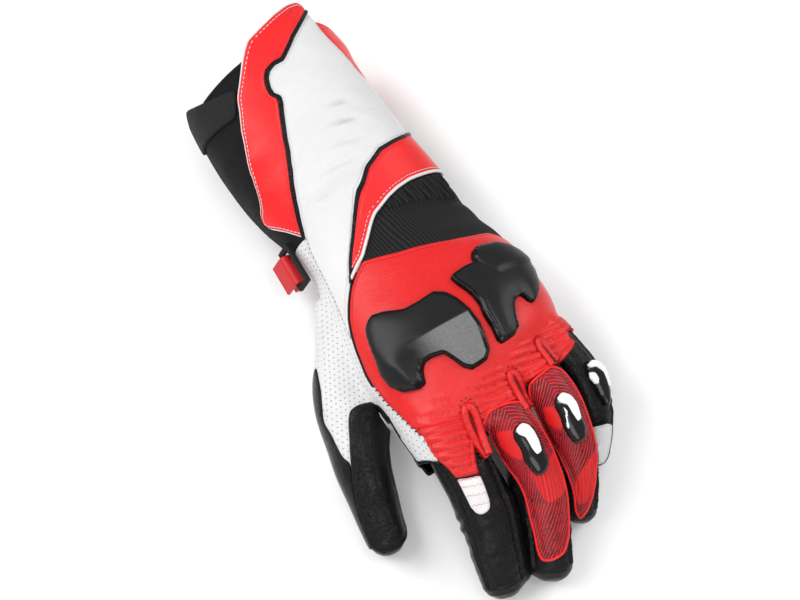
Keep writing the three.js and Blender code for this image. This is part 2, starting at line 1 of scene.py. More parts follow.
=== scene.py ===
"""Leather motorcycle glove for the left hand, lying palm down. Lengths in the tables are millimetres."""

import math

import bmesh
import bpy
import numpy as np
from mathutils import Matrix, Vector
from mathutils.bvhtree import BVHTree


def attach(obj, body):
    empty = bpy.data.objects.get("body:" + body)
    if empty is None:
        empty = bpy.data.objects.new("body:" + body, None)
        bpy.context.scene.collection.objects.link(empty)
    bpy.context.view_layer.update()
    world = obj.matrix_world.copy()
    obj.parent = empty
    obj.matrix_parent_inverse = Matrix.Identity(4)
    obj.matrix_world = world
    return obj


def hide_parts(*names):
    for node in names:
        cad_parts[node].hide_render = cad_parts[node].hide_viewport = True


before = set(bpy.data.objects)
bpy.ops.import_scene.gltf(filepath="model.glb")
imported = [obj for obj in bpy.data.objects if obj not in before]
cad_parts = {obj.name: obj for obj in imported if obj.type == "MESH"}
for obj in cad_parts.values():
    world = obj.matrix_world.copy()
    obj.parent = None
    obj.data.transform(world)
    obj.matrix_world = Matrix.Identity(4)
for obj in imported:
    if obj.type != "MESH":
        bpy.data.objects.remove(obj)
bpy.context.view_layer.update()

# Palm, thumb root and sides: white perforated goatskin, sewn inside out so that it flows from the wrist
# into the thumb and up to the fingers. It is one soft shell, open at the wrist.
MM = 0.001
TABLE_ZERO = np.array([3.6, 0.5, 0.0])
TUBE_ROWS = np.array([  # y, left, right, floor, top
    (166, -47, 42.5, -1.2, 68), (128, -48, 44.5, -1.2, 68), (96, -47, 46, -1, 65), (74, -43, 49, 1, 60),
    (52, -36, 53, 4, 55), (32, -34, 55, 4, 53), (12, -36, 60, 1, 56), (-8, -40, 66, -1, 61),
    (-32, -42, 67, -1, 64), (-58, -38, 65, 3, 62), (-84, -37, 63.5, 10, 54),
], float)
DIGIT_ROWS = {  # x, y, z, half width, half height
    "index_finger": [(-19, -58, 42, 14, 15), (-18, -88, 41, 15, 14), (-20, -118, 32, 14.3, 13),
                     (-24, -137, 22, 13.3, 12), (-27, -151, 12.5, 11.8, 10.5)],
    "middle_finger": [(8, -58, 43, 12.5, 14), (13, -90, 43, 12.5, 12.8), (12.5, -118, 33, 12, 12),
                      (6, -139, 21.5, 12.2, 11.8), (-1, -155.5, 12, 11.8, 11)],
    "ring_finger": [(34, -56, 42, 11.5, 13), (39.5, -86, 42, 11.8, 12), (38.5, -110, 32, 11.5, 12),
                    (33, -126, 21, 10.7, 11.2), (27, -138, 12, 9.8, 10)],
    "little_finger": [(53, -50, 38, 10.2, 12.6), (59, -77, 35.5, 10.6, 11.6), (59, -95, 28, 10.5, 11),
                      (55, -107, 19, 10, 10.3), (49, -116, 11, 9.5, 9.5)],
    "thumb": [(-24, 16, 21, 17, 17), (-33.5, -6, 21, 18.6, 18.5), (-47.2, -32, 20, 19.8, 17.5),
              (-58, -58, 18, 15, 15), (-64, -82, 15, 11.8, 12.5), (-67.5, -102, 12, 10, 10.5)],
}


HAND_DEGREE = 0.93  # millimetres that one degree round the hand counts as in a pattern
HAND_UNIT = (HAND_DEGREE, 1.0)
DIGIT_UNIT = (0.24, 30.0)  # the same for one degree round a finger and for one row along it
PALM_WALL = 1.5
SKIN_VOXEL = 1.5


def smooth_rows(rows, place):
    """Smooth values of every column of a table at places counted in rows."""
    rows = np.asarray(rows, float)
    place = np.clip(np.asarray(place, float), 0, len(rows) - 1)
    first = np.clip(np.floor(place).astype(int), 0, len(rows) - 2)
    t = (place - first)[:, None]
    a, b, c, d = (rows[np.clip(first + k, 0, len(rows) - 1)] for k in (-1, 0, 1, 2))
    return 0.5 * (2 * b + (c - a) * t + (2 * a - 5 * b + 4 * c - d) * t**2 + (3 * b - a - 3 * c + d) * t**3)


def ease(x):
    x = np.clip(x, 0, 1)
    return x * x * (3 - 2 * x)


def signed_power(value, power):
    return np.sign(value) * np.abs(value) ** power


def waves(points, size, seed):
    """Soft lumps of about that size, between -1 and 1."""
    draw = np.random.default_rng(seed)
    ways = draw.normal(size=(9, 3))
    ways *= 2 * math.pi / (size * np.linalg.norm(ways, axis=1, keepdims=True))
    return np.sin(points @ ways.T + draw.uniform(0, 6.28, 9)).sum(axis=1) / 4.5


def tube_section(angle, y, lift):
    row = np.interp(-y, -TUBE_ROWS[:, 0], np.arange(len(TUBE_ROWS)))
    left, right, floor, top = smooth_rows(TUBE_ROWS[:, 1:], row).T
    a = np.radians(angle)
    power = 2 / np.where(np.cos(a) > 0, 2.4, 3.4)
    x = (left + right) / 2 + ((right - left) / 2 + lift) * signed_power(np.sin(a), power)
    z = (top + floor) / 2 + ((top - floor) / 2 + lift) * signed_power(np.cos(a), power)
    back_side = 0.3 + 0.7 * ease((np.cos(a) + 0.4) / 0.8)
    y = y + back_side * 0.4 * (x - 14) * ease((-40 - y) / 40) + 0.2 * x * ease((y - 100) / 47)
    return np.stack([x, y, np.maximum(z, np.maximum(-lift, 0))], axis=-1)


def tube_point(angle, y, lift):
    """Places on hand, wrist and cuff, with the slack of soft leather."""
    angle, y, lift = np.broadcast_arrays(np.asarray(angle, float), y, lift)
    bare = tube_section(angle, y, 0 * lift)
    slack = 0.45 * waves(bare, 52, 1) + 0.2 * waves(bare, 19, 2)
    cuff = ease((y - 62) / 20) * ease((np.cos(np.radians(angle)) + 0.2) / 0.5)
    sags = 0.35 * waves(bare * (0.5, 2.2, 0.5), 26, 3) + 0.14 * waves(bare * (0.6, 2.6, 0.6), 12, 4)
    slack = slack + cuff * sags
    return tube_section(angle, y, lift + slack)


def digit_point(name):
    """Places on a finger or the thumb, from an angle round it and a place along it in rows."""
    rows = np.array(DIGIT_ROWS[name], float)
    last = len(rows) - 1

    def point(angle, place, lift):
        angle, place, lift = np.broadcast_arrays(np.asarray(angle, float), place, lift)
        row = np.minimum(place, last)
        x, y, z, wide, high = smooth_rows(rows, row).T
        along = (smooth_rows(rows, np.minimum(row + 0.05, last)) - smooth_rows(rows, row - 0.05))[:, :3]
        along /= np.linalg.norm(along, axis=1, keepdims=True)
        side = np.cross(along, (0.0, 0.0, 1.0))
        side *= np.sign(side[:, :1]) / np.linalg.norm(side, axis=1, keepdims=True)
        up = np.cross(along, side)
        up *= np.sign(up[:, 2:])
        past = np.clip(place - last, 0, 1)
        shrink = np.sqrt(1 - past**2)
        a = np.radians(angle)
        middle = np.stack([x, y, z], axis=-1)
        slack = 0.3 * waves(middle + 14 * side * np.sin(a)[:, None] + 14 * up * np.cos(a)[:, None], 21, 5)
        lift = lift + slack
        made = middle + along * (past * (high + lift))[:, None]
        made = made + side * (shrink * (wide + lift) * signed_power(np.sin(a), 2 / 2.3))[:, None]
        made = made + up * (shrink * (high + lift) * signed_power(np.cos(a), 2 / 2.3))[:, None]
        made[:, 2] = np.maximum(made[:, 2], np.maximum(-lift, 0))
        return made

    return point


def metres(points):
    return (points + TABLE_ZERO) * MM


def wrap(bm, across, along, place):
    """Grid laid round a form: place takes shares across and along it."""
    made = bmesh.ops.create_grid(bm, x_segments=across, y_segments=along, size=0.5)["verts"]
    flat = np.array([v.co[:2] for v in made]) + 0.5
    for v, p in zip(made, metres(place(flat[:, 0], flat[:, 1]))):
        v.co = p
    bmesh.ops.remove_doubles(bm, verts=made, dist=0.02 * MM)


def made_mesh(bm, name):
    mesh = bpy.data.meshes.new(name)
    bm.to_mesh(mesh)
    bm.free()
    return mesh


def finished(name, mesh, finish, slot, *nodes):
    """A piece of the glove from its mesh, riding on the one body."""
    mesh.shade_smooth()
    mesh.materials.append(finish)
    made = bpy.data.objects.new(name, mesh)
    bpy.context.scene.collection.objects.link(made)
    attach(made, "root")
    if nodes:
        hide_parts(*nodes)
    return made


def box_pattern(mesh):
    """Pattern coordinates in millimetres, laid on from the side that each face looks to."""
    count = len(mesh.loops)
    loop_vertex = np.zeros(count, int)
    mesh.loops.foreach_get("vertex_index", loop_vertex)
    points = np.zeros(len(mesh.vertices) * 3)
    mesh.vertices.foreach_get("co", points)
    points = points.reshape(-1, 3)[loop_vertex] / MM
    facing = np.zeros(len(mesh.polygons) * 3)
    mesh.polygons.foreach_get("normal", facing)
    sizes = np.zeros(len(mesh.polygons), int)
    mesh.polygons.foreach_get("loop_total", sizes)
    facing = np.repeat(np.abs(facing.reshape(-1, 3)), sizes, axis=0)
    axis = facing.argmax(axis=1)
    seen_along = np.stack([points[:, [1, 2]], points[:, [0, 2]], points[:, :2]])
    flat = seen_along[axis, np.arange(count)]
    mesh.uv_layers.new(name="pattern").data.foreach_set("uv", flat.ravel())


class Signal:
    """A number that changes over a surface; sums with it add Math nodes."""

    def __init__(self, finish, socket):
        self.finish, self.socket = finish, socket

    def math(self, operation, *others):
        values = dict(enumerate([self, *others]))
        return self.finish.node("ShaderNodeMath", {"operation": operation}, values)

    def __add__(self, other):
        return self.math("ADD", other)

    def __mul__(self, other):
        return self.math("MULTIPLY", other)

    def __sub__(self, other):
        return self.math("SUBTRACT", other)

    def __rsub__(self, other):
        return self * -1.0 + other

    __radd__ = __add__
    __rmul__ = __mul__


class Finish:
    """A material with one shader; what varies comes from nodes, and plain values sit on the shader."""

    def __init__(self, name, **values):
        self.material = bpy.data.materials.new(name)
        self.material.use_nodes = True
        self.tree = self.material.node_tree
        self.shader = self.tree.nodes["Principled BSDF"]
        for key, value in values.items():
            self.shader.inputs[key.replace("_", " ")].default_value = value

    def node(self, kind, settings=None, values=None, output=0):
        made = self.tree.nodes.new(kind)
        for key, value in (settings or {}).items():
            setattr(made, key, value)
        for key, value in (values or {}).items():
            self.set(made.inputs[key], value)
        return Signal(self, made.outputs[output])

    def set(self, socket, value):
        if isinstance(value, Signal):
            self.tree.links.new(value.socket, socket)
        else:
            socket.default_value = value

    def places(self):
        return self.node("ShaderNodeTexCoord", output="Object")

    def pattern(self):
        """The two coordinates of the piece's pattern, in millimetres."""
        flat = self.node("ShaderNodeUVMap", {"uv_map": "pattern"})
        return [self.node("ShaderNodeSeparateXYZ", {}, {"Vector": flat}, axis) for axis in "XY"]

    def marked(self, name):
        """What an attribute of the piece says at each place."""
        return self.node("ShaderNodeAttribute", {"attribute_name": name}, output="Fac")

    def noise(self, size, detail=2.0, stretch=(1, 1, 1)):
        """Noise from 0 to 1 with lumps of about that many millimetres."""
        scaled = self.node("ShaderNodeMapping", {}, {"Vector": self.places(), "Scale": stretch})
        values = {"Vector": scaled, "Scale": 1 / (size * MM), "Detail": detail}
        return self.node("ShaderNodeTexNoise", {}, values, "Fac")

    def step(self, value, low, high):
        """0 below low, 1 above high, eased between; low may be the larger."""
        settings = {"interpolation_type": "SMOOTHSTEP"}
        values = {"Value": value, "From Min": min(low, high), "From Max": max(low, high)}
        eased = self.node("ShaderNodeMapRange", settings, values)
        return 1 - eased if low > high else eased

    def mix(self, share, first, second):
        values = {"Factor": share, "A": first, "B": second}
        made = self.tree.nodes.new("ShaderNodeMix")
        made.data_type = "RGBA"
        for key, value in values.items():
            kind = "VALUE" if key == "Factor" else "RGBA"
            self.set(next(s for s in made.inputs if s.name == key and s.type == kind), value)
        return Signal(self, next(s for s in made.outputs if s.type == "RGBA"))

    def coloured(self, colour):
        self.set(self.shader.inputs["Base Color"], colour)

    def embossed(self, height):
        """Bump of a height in millimetres."""
        bump = self.node("ShaderNodeBump", {}, {"Height": height, "Distance": MM, "Strength": 1.0})
        self.set(self.shader.inputs["Normal"], bump)


def shade(colour, by=1.0):
    return tuple(min(1.0, c * by) for c in colour) + (1.0,)


def holes(finish, pitch, across):
    """1 in round holes of a staggered lattice over the piece's pattern."""
    u, v = (axis * (1 / pitch) for axis in finish.pattern())
    odd = v.math("FLOOR").math("MODULO", 2.0).math("ABSOLUTE")
    du = (u + odd * 0.5).math("FRACT") - 0.5
    dv = v.math("FRACT") - 0.5
    away = (du * du + dv * dv).math("SQRT") * pitch
    return finish.step(away, across * 0.62, across * 0.36)


def leather(name, colour, roughness, pores=0.03, creases=0.06, mottle=0.05, perforated=False, seam=0.0,
            shine=0.5):
    """Leather: pores and fine creases in its height, slow mottling, a groove along its seam if it has one,
    and, where it has a seam, colour darker towards its edge and painted shade in the valleys of its relief."""
    f = Finish(name, Specular_IOR_Level=shine)
    slow = f.noise(17, 3)
    fine = f.noise(2.6, 3)
    cells = {"Vector": f.places(), "Scale": 1 / (0.95 * MM)}
    grain = f.node("ShaderNodeTexVoronoi", {"feature": "DISTANCE_TO_EDGE"}, cells)
    patches = f.step(slow * 0.6 + fine * 0.4, 0.3, 0.7)
    tone = f.mix(patches, shade(colour, 1 - mottle), shade(colour, 1 + mottle))
    folds = 1 - (f.noise(6.5, 3, (1, 1.7, 1)) - 0.5).math("ABSOLUTE") * 9
    height = f.step(grain, 0.0, 0.16) * pores + f.step(folds, 0.2, 1.0) * -creases + fine * 0.03
    if perforated:
        hole = holes(f, 2.7, 0.7)
        tone = f.mix(hole, tone, shade(colour, 0.45))
        height = height + hole * -0.2
    if seam:
        edge = f.marked("edge")
        height = height + f.step((edge - seam).math("ABSOLUTE"), 0.75, 0.1) * -0.3
        # Painted shade: the colour is darkened in the low valleys of the piece's relief, and darker towards
        # its edge.
        dark = f.step(edge, 0.9, 0.0) * 0.4 + f.step(f.marked("relief"), -0.05, -0.85) * 0.6
        tone = f.mix(dark, tone, shade(colour, 0.2))
    f.coloured(tone)
    f.set(f.shader.inputs["Roughness"], fine * 0.12 + (roughness - 0.06))
    f.embossed(height)
    return f.material


RED = (0.64, 0.012, 0.013)
BRIGHT_RED = (0.76, 0.016, 0.018)
WHITE = (0.66, 0.66, 0.66)
BLACK = (0.004, 0.004, 0.0045)
white_perforated = leather("white_perforated_goatskin", WHITE, 0.5, mottle=0.02, perforated=True)
black_leather = leather("black_leather", BLACK, 0.2, pores=0.09, creases=0.06, mottle=0.3, shine=0.2)

bm = bmesh.new()
wrap(bm, 96, 90, lambda u, v: tube_point(360 * u, 72 - 154 * v, 0.0))
for name, rows in DIGIT_ROWS.items():
    wrap(bm, 48, 72, lambda u, v: digit_point(name)(360 * u, len(rows) * v, 0.0))
bmesh.ops.holes_fill(bm, edges=bm.edges[:])
bmesh.ops.recalc_face_normals(bm, faces=bm.faces[:])
hand_form = bpy.data.objects.new("hand_form", made_mesh(bm, "hand_form"))
bpy.context.scene.collection.objects.link(hand_form)
remesh = hand_form.modifiers.new("one_skin", "REMESH")
remesh.mode, remesh.voxel_size = "VOXEL", SKIN_VOXEL * MM
smooth = hand_form.modifiers.new("soft", "SMOOTH")
smooth.factor, smooth.iterations = 0.5, 7
skin = bpy.data.meshes.new_from_object(hand_form.evaluated_get(bpy.context.evaluated_depsgraph_get()))
bpy.data.objects.remove(hand_form)
bm = bmesh.new()
bm.from_mesh(skin)
hand_tree = BVHTree.FromBMesh(bm)


def trim(bm, x, y, away, corner, until):
    """Cuts off what lies past an upright plane through that place, on faces right of and above a corner,
    given as x and z, and left of until."""
    low, high = metres(np.array([corner[0], 0, corner[1]])), metres(np.array([until, 0, 0]))
    middles = [(f, f.calc_center_median()) for f in bm.faces]
    faces = [f for f, middle in middles if low[0] < middle.x < high[0] and middle.z > low[2]]
    parts = faces + list({e for f in faces for e in f.edges}) + list({v for f in faces for v in f.verts})
    cut = Vector(metres(np.array([x, y, 0.0])))
    bmesh.ops.bisect_plane(bm, geom=parts, dist=1e-6, plane_co=cut, plane_no=away, clear_outer=True)


TRIMS = [
    (0, 49.4, (0, 1, 0), (-200, -5), 200),  # the open wrist
    (0, -90, (0, -1, 0), (-46, -5), 200),  # all four fingers
    (0, -88, (0.45, -1, 0), (-46, 20), 200),  # their upper sides, aslant
    (-33, -83, (-0.5, -0.866, 0), (-47, 20), -9),  # the corner between index finger and thumb
]
for cut in TRIMS:
    trim(bm, *cut)
bm.to_mesh(skin)
bm.free()
palm = finished("palm_leather", skin, white_perforated, "white_leather", "palm", "thumb")
wall = palm.modifiers.new("wall", "SOLIDIFY")
wall.thickness, wall.offset = PALM_WALL * MM, -1
thick = bpy.data.meshes.new_from_object(palm.evaluated_get(bpy.context.evaluated_depsgraph_get()))
palm.modifiers.clear()
palm.data = thick
box_pattern(thick)
thick.materials.append(black_leather)
# The skin between and under the fingers, and at the thumb's tip, is black.
for face in thick.polygons:
    x, y, z = np.array(face.center) / MM - TABLE_ZERO
    between = y < -66 and z > 20 and x > -24 + 0.5 * (-66 - y) * (z < 34)
    if between or y < -78 and z > 6 and x > -45 or y < -96 and x < -50:
        face.material_index = 1

# Back of the hand: one panel of red full-grain leather over thin foam, with its left edge turned under and
# sewn down, and soft stretch folds in front of the knuckles.


class Form:
    """A form that leather is laid on: point gives places on it, and unit the millimetres of one step of
    each pattern coordinate."""

    def __init__(self, point, unit):
        self.point, self.unit = point, np.array(unit, float)

    def flat(self, pattern):
        return np.array(pattern, float) * self.unit

    def laid(self, flat, lift):
        a, s = (np.asarray(flat) / self.unit).T
        return self.point(a, s, lift)


def even(line, step):
    """The line again with points that far apart."""
    length = np.concatenate([[0], np.cumsum(np.linalg.norm(np.diff(line, axis=0), axis=1))])
    count = max(2, int(round(length[-1] / step)) + 1)
    at = np.linspace(0, length[-1], count)
    return np.stack([np.interp(at, length, column) for column in np.asarray(line).T], axis=-1)


def curve(points, step, closed=False):
    """A smooth line through points."""
    rows = np.asarray(points, float)
    if closed:
        rows = np.vstack([rows[-1:], rows, rows[:2]])
        return even(smooth_rows(rows, np.linspace(1, len(rows) - 2, 14 * len(rows))), step)[:-1]
    return even(smooth_rows(rows, np.linspace(0, len(rows) - 1, 14 * len(rows))), step)


def drawn(points, step, soft=2.6, closed=True):
    """Straight runs between points with each corner cut soft."""
    rows = np.asarray(points, float)
    if closed:
        rows = np.vstack([rows, rows[:1]])
    rows = even(rows, soft)
    for _ in range(2):
        cut = np.stack([0.75 * rows[:-1] + 0.25 * rows[1:], 0.25 * rows[:-1] + 0.75 * rows[1:]], axis=1)
        cut = cut.reshape(-1, 2)
        rows = np.vstack([cut, cut[:1]]) if closed else np.vstack([rows[:1], cut, rows[-1:]])
    return even(rows, step)[:-1] if closed else even(rows, step)


def inset(line, by):
    """The flat line moved to its left side by so many millimetres."""
    ahead = np.gradient(line, axis=0)
    ahead /= np.linalg.norm(ahead, axis=1, keepdims=True)
    return line + by * np.stack([-ahead[:, 1], ahead[:, 0]], axis=-1)


def edge_distance(flat, outline):
    nearest = np.full(len(flat), 1e9)
    for p, q in zip(outline, np.roll(outline, -1, axis=0)):
        run = q - p
        share = np.clip(((flat - p) @ run) / max(run @ run, 1e-9), 0, 1)
        nearest = np.minimum(nearest, np.linalg.norm(flat - p - share[:, None] * run, axis=1))
    return nearest


def panel(name, form, outline, low, high, finish, slot, *nodes, step=2.0, rim=(0.5, 0.8), relief=None,
          tint=None, turn=1.3):
    """A panel cut to an outline in flat millimetres and laid on a form, between two heights over it.
    Its edge is turned down over a band turn wide. Relief adds to its top, and tint marks it for its
    finish."""
    bm = bmesh.new()
    face = bm.faces.new([bm.verts.new((a, s, 0)) for a, s in outline])
    face.normal_update()
    if face.normal.z < 0:
        face.normal_flip()
    for width in rim:
        bmesh.ops.inset_region(bm, faces=[face], thickness=width, use_even_offset=True, use_boundary=True)
    for axis, normal in ((0, (1, 0, 0)), (1, (0, 1, 0))):
        at = math.ceil(outline[:, axis].min() / step) * step
        while at < outline[:, axis].max():
            all_parts = bm.verts[:] + bm.edges[:] + bm.faces[:]
            bmesh.ops.bisect_plane(bm, geom=all_parts, dist=0.01, plane_co=[at * n for n in normal],
                                   plane_no=normal)
            at += step
    bmesh.ops.dissolve_degenerate(bm, dist=0.02, edges=bm.edges[:])
    top = bmesh.ops.extrude_face_region(bm, geom=bm.faces[:], use_keep_orig=True)["geom"]
    bmesh.ops.translate(bm, vec=(0, 0, 1), verts=[g for g in top if isinstance(g, bmesh.types.BMVert)])
    bmesh.ops.recalc_face_normals(bm, faces=bm.faces[:])
    mesh = made_mesh(bm, name)
    co = np.zeros(len(mesh.vertices) * 3)
    mesh.vertices.foreach_get("co", co)
    co = co.reshape(-1, 3)
    flat, up = co[:, :2], co[:, 2]
    edge = edge_distance(flat, outline)
    rise = np.sqrt(1 - (1 - np.clip(edge / turn, 0, 1)) ** 2) * 0.8 + 0.2
    added = relief(flat[:, 0], flat[:, 1], edge) if relief else np.zeros(len(flat))
    lift = np.where(up > 0.5, low + (high + added - low) * rise, low)
    loops = np.zeros(len(mesh.loops), int)
    mesh.loops.foreach_get("vertex_index", loops)
    mesh.uv_layers.new(name="pattern").data.foreach_set("uv", flat[loops].ravel())
    marks = {"edge": np.where(up > 0.5, edge, 0.0), "relief": added}
    if tint:
        marks["tint"] = tint(flat[:, 0], flat[:, 1], edge)
    for mark, values in marks.items():
        mesh.attributes.new(mark, "FLOAT", "POINT").data.foreach_set("value", values)
    placed = metres(form.laid(flat, lift))
    mesh.vertices.foreach_set("co", placed.ravel())
    mesh.update()
    faces_out = sum(p.center.dot(p.normal) * p.area for p in mesh.polygons)
    if faces_out < 0:
        mesh.flip_normals()
    return finished(name, mesh, finish, slot, *nodes)


def draped(point, cuff=1000.0):
    """The same form where it meets the hand's one skin, which is thicker in the roots of the fingers;
    past the cuff's place it stays as it is."""

    def at(angle, place, lift):
        outer, inner = point(angle, place, 7.0), point(angle, place, -4.0)
        made = point(angle, place, 0.0)
        place, lift = np.broadcast_to(place, len(made)), np.broadcast_to(lift, len(made))
        for i, (p, q, h) in enumerate(zip(outer, inner, lift)):
            way = (q - p) / np.linalg.norm(q - p)
            hit, facing = hand_tree.ray_cast(Vector(metres(p)), Vector(way))[:2]
            if hit and facing.dot(Vector(way)) < 0:
                base = np.array(hit) / MM - TABLE_ZERO
                if np.linalg.norm(base - made[i]) < 6:
                    made[i] += (base - made[i]) * ease((cuff - place[i]) / 6)
            made[i] -= way * h
        made[:, 2] = np.maximum(made[:, 2], 0)
        return made

    return at


body = Form(tube_point, HAND_UNIT)
hand = Form(draped(tube_point, 62), HAND_UNIT)
red_leather = leather("red_leather", RED, 0.36, pores=0.015, creases=0.04, seam=2.3, shine=0.36)


def bump_at(x, y, cx, cy, wide, long):
    return np.exp(-(((x - cx) / wide) ** 2) - ((y - cy) / long) ** 2)


def back_relief(a, s, edge):
    """Padded folds between the rolls, and a soft swell under the wrist."""
    angle = a / HAND_DEGREE

    def fold(t, pitch):
        return 1.6 * np.abs(np.sin(t * math.pi / pitch)) ** 0.6 - 0.9

    near_index = ease((-58 - s) / 2) * ease((-22 - angle) / 2)
    first = ease((-63 - s) / 3) * ease((angle + 13) / 2) * ease((6 - angle) / 2)
    second = ease((-66 - s) / 3) * ease((angle - 11) / 2) * ease((31 - angle) / 2)
    third = ease((-70 - s) / 3) * ease((angle - 40) / 3)
    made = near_index * fold(s + 0.28 * angle + 72.5, 4.2) + first * fold(s + 0.62 * angle + 71.5, 4.0)
    made = made + second * fold(s + 0.42 * angle + 65, 4.5) + third * fold(s + 0.3 * angle + 65, 4.2)
    return made + 0.9 * bump_at(angle, s, 20, 6 - 0.2 * angle, 40, 8)


BACK = [
    (-23, 21.5), (-32, 17.5), (-38, 14), (-43, 10), (-48, 5), (-54, -2), (-58, -10), (-61, -18),
    (-63, -26), (-66, -33), (-67.5, -39), (-68, -45), (-66.5, -50), (-63, -55), (-60, -59.5),
    (-55, -63.5), (-38, -67), (-25, -70.5), (-25, -77), (-22, -82), (-17, -83), (-14.5, -77.5), (-6, -80),
    (-2, -82), (1, -84), (5, -86.5), (9, -86.5), (11, -83), (16, -84), (20, -86), (26, -88), (35, -89.5),
    (45, -90), (56, -91), (66, -88), (75, -80), (82, -70), (88, -54), (92, -30), (90, -5.5), (76, -2.5),
    (65, 1.6), (55, 4.4), (46, 4.6), (34, 5.6), (21, 7.8), (8, 11.7), (-1, 14.7), (-12, 18.6),
]
panel("hand_back_leather", hand, drawn(body.flat(BACK), 1.6), -0.5, 0.9, red_leather, "red_leather",
      "hand_back", step=1.1, relief=back_relief)

# Edge of the back: black cord in the seam along the wrist, then big black cross stitches towards the index.


def cords(name, lines, radius, finish, slot, *nodes):
    """Round cords along lines of points in millimetres."""
    data = bpy.data.curves.new(name, "CURVE")
    data.dimensions, data.use_fill_caps = "3D", True
    data.bevel_depth, data.bevel_resolution = radius * MM, 2
    for line in lines:
        spline = data.splines.new("POLY")
        spline.points.add(len(line) - 1)
        spline.points.foreach_set("co", np.hstack([metres(line), np.ones((len(line), 1))]).ravel())
    data.materials.append(finish)
    made = bpy.data.objects.new(name, data)
    bpy.context.scene.collection.objects.link(made)
    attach(made, "root")
    if nodes:
        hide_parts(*nodes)
    return made


def on(form, flat, lift):
    return form.laid(flat, np.full(len(flat), float(lift)))


class Stitches:
    """Sewing thread: short rounded stitches along lines, all in one mesh."""

    def __init__(self):
        self.bm = bmesh.new()

    def one(self, middle, run, up, length, thick):
        run = Vector(run).normalized()
        side = Vector(up).cross(run).normalized()
        turned = Matrix((side, run.cross(side), run)).transposed().to_4x4()
        size = Matrix.Diagonal((thick * MM / 2, thick * MM / 2 * 0.7, length * MM / 2, 1))
        place = Matrix.Translation(Vector(metres(middle)))
        laid = place @ turned @ size
        bmesh.ops.create_uvsphere(self.bm, u_segments=6, v_segments=5, radius=1, matrix=laid)

    def row(self, form, flat, lift, pitch=3.0, length=2.2, thick=0.55, slant=0.0):
        """A row along a flat line; slant turns each stitch across it."""
        flat = even(flat, pitch)
        low, high = on(form, flat, lift), on(form, flat, lift + 1)
        runs = np.gradient(low, axis=0)
        for middle, run, top in zip(low, runs, high):
            up = Vector(top - middle).normalized()
            run = Vector(run).normalized()
            self.one(middle, run + up.cross(run) * slant, up, length, thick)

    def sewn(self, name, finish, slot):
        return finished(name, made_mesh(self.bm, name), finish, slot)


def thread(name, colour, roughness=0.6):
    f = Finish(name, Roughness=roughness)
    twist = f.noise(0.5, 1)
    f.coloured(f.mix(twist, shade(colour, 0.8), shade(colour, 1.15)))
    f.embossed(twist * 0.05)
    return f.material


white_thread, black_thread = thread("white_thread", WHITE), thread("black_thread", BLACK)
red_thread = thread("red_thread", (0.55, 0.01, 0.012))
# Dark red thread, also used for the cords of painted shadow in the rolls' creases.
dark_red_thread_and_crease_shadow = thread("dark_red_thread_and_crease_shadow", (0.10, 0.004, 0.004))
black_sewing, white_sewing, red_sewing, dark_sewing = (Stitches() for _ in range(4))
edge_line = drawn(body.flat(BACK[1:11]), 1.2, closed=False)
cords("back_edge_cord", [on(hand, inset(edge_line, -0.5), 0.7)], 0.7, black_leather, "black_leather",
      "back_edge_seam")
whip_line = drawn(body.flat(BACK[10:16]), 1.0, closed=False)
black_sewing.row(hand, inset(whip_line, 0.9), 1.25, pitch=2.5, length=2.1, thick=0.95, slant=1.8)

# Wrist panel: black elastic knit, gathered into upright ribs under the cuff.


def knit(name, wale=1.9, course=1.5):
    """Upright rows of knit stitches with a slight slant."""
    f = Finish(name, Roughness=0.8, Specular_IOR_Level=0.25)
    u, v = f.pattern()
    rows = ((u + v * 0.12) * (2 * math.pi / wale)).math("SINE")
    loops = (v * (2 * math.pi / course) + rows * 1.2).math("SINE")
    height = rows * 0.16 + loops * 0.06
    f.coloured(f.mix(f.step(height, -0.2, 0.2), (0.002, 0.002, 0.002, 1), (0.017, 0.017, 0.018, 1)))
    f.embossed(height)
    return f.material


def knit_relief(a, s, edge):
    """Upright ribs that start at a curved line over the hand and stop short of the white piping."""
    angle = a / HAND_DEGREE
    ribs = np.abs(np.sin((angle - 4) * math.pi / 5.4)) ** 0.8
    ends = np.interp(angle, [1, 6, 12, 24, 33, 43, 62], [40, 38, 36.5, 34.5, 33, 31, 30])
    zone = ease((s - ends) / 2) * ease((angle - 1) / 5) * ease((66 - angle) / 4)
    piping_at = np.interp(angle, [0, 8, 17, 29, 68], [41.3, 45, 47.3, 48.8, 49.3])
    zone = zone * ease((piping_at - 0.9 - s) / 2)
    slack = 0.3 * np.sin(s * 0.42 + angle * 0.06) * (1 - zone)
    return 2.3 * ribs * zone - 0.3 * bump_at(0, s, 0, ends - 1.5, 1, 2) + slack


KNIT = [
    (90, 55), (62, 53), (29, 52.5), (17, 51), (8, 48.5), (0, 45), (-6, 39), (-13, 32.5), (-24, 24),
    (-27, 21), (-23, 20), (-12, 17.5), (-1, 13.7), (8, 10.7), (21, 6.8), (34, 4.6), (46, 3.6), (55, 3.4),
    (65, 0.5), (76, -3.5), (90, -6.5),
]
black_knit = knit("black_knit")
panel("wrist_knit", hand, drawn(body.flat(KNIT), 1.6), -0.4, 1.0, black_knit, "black_fabric",
      "wrist_stretch_panel", step=0.9, relief=knit_relief)

# Inner cuff: a tube of black woven fabric with a bound edge, which the leather of the cuff is sewn to.


def woven(name, pitch, tones=(0.006, 0.028)):
    f = Finish(name, Roughness=0.8, Specular_IOR_Level=0.2)
    u, v = (axis * (math.pi / pitch) for axis in f.pattern())
    height = (u.math("SINE") * v.math("SINE")) * 0.12
    fuzz = f.noise(1.2, 3)
    dark, light = ((tone,) * 3 + (1,) for tone in tones)
    f.coloured(f.mix(f.step(height + fuzz * 0.1, -0.1, 0.2), dark, light))
    f.embossed(height + fuzz * 0.1)
    return f.material


black_cloth = woven("black_cloth", 0.7, (0.003, 0.008))
CUFF_START, CUFF_END = 48.0, 147.0


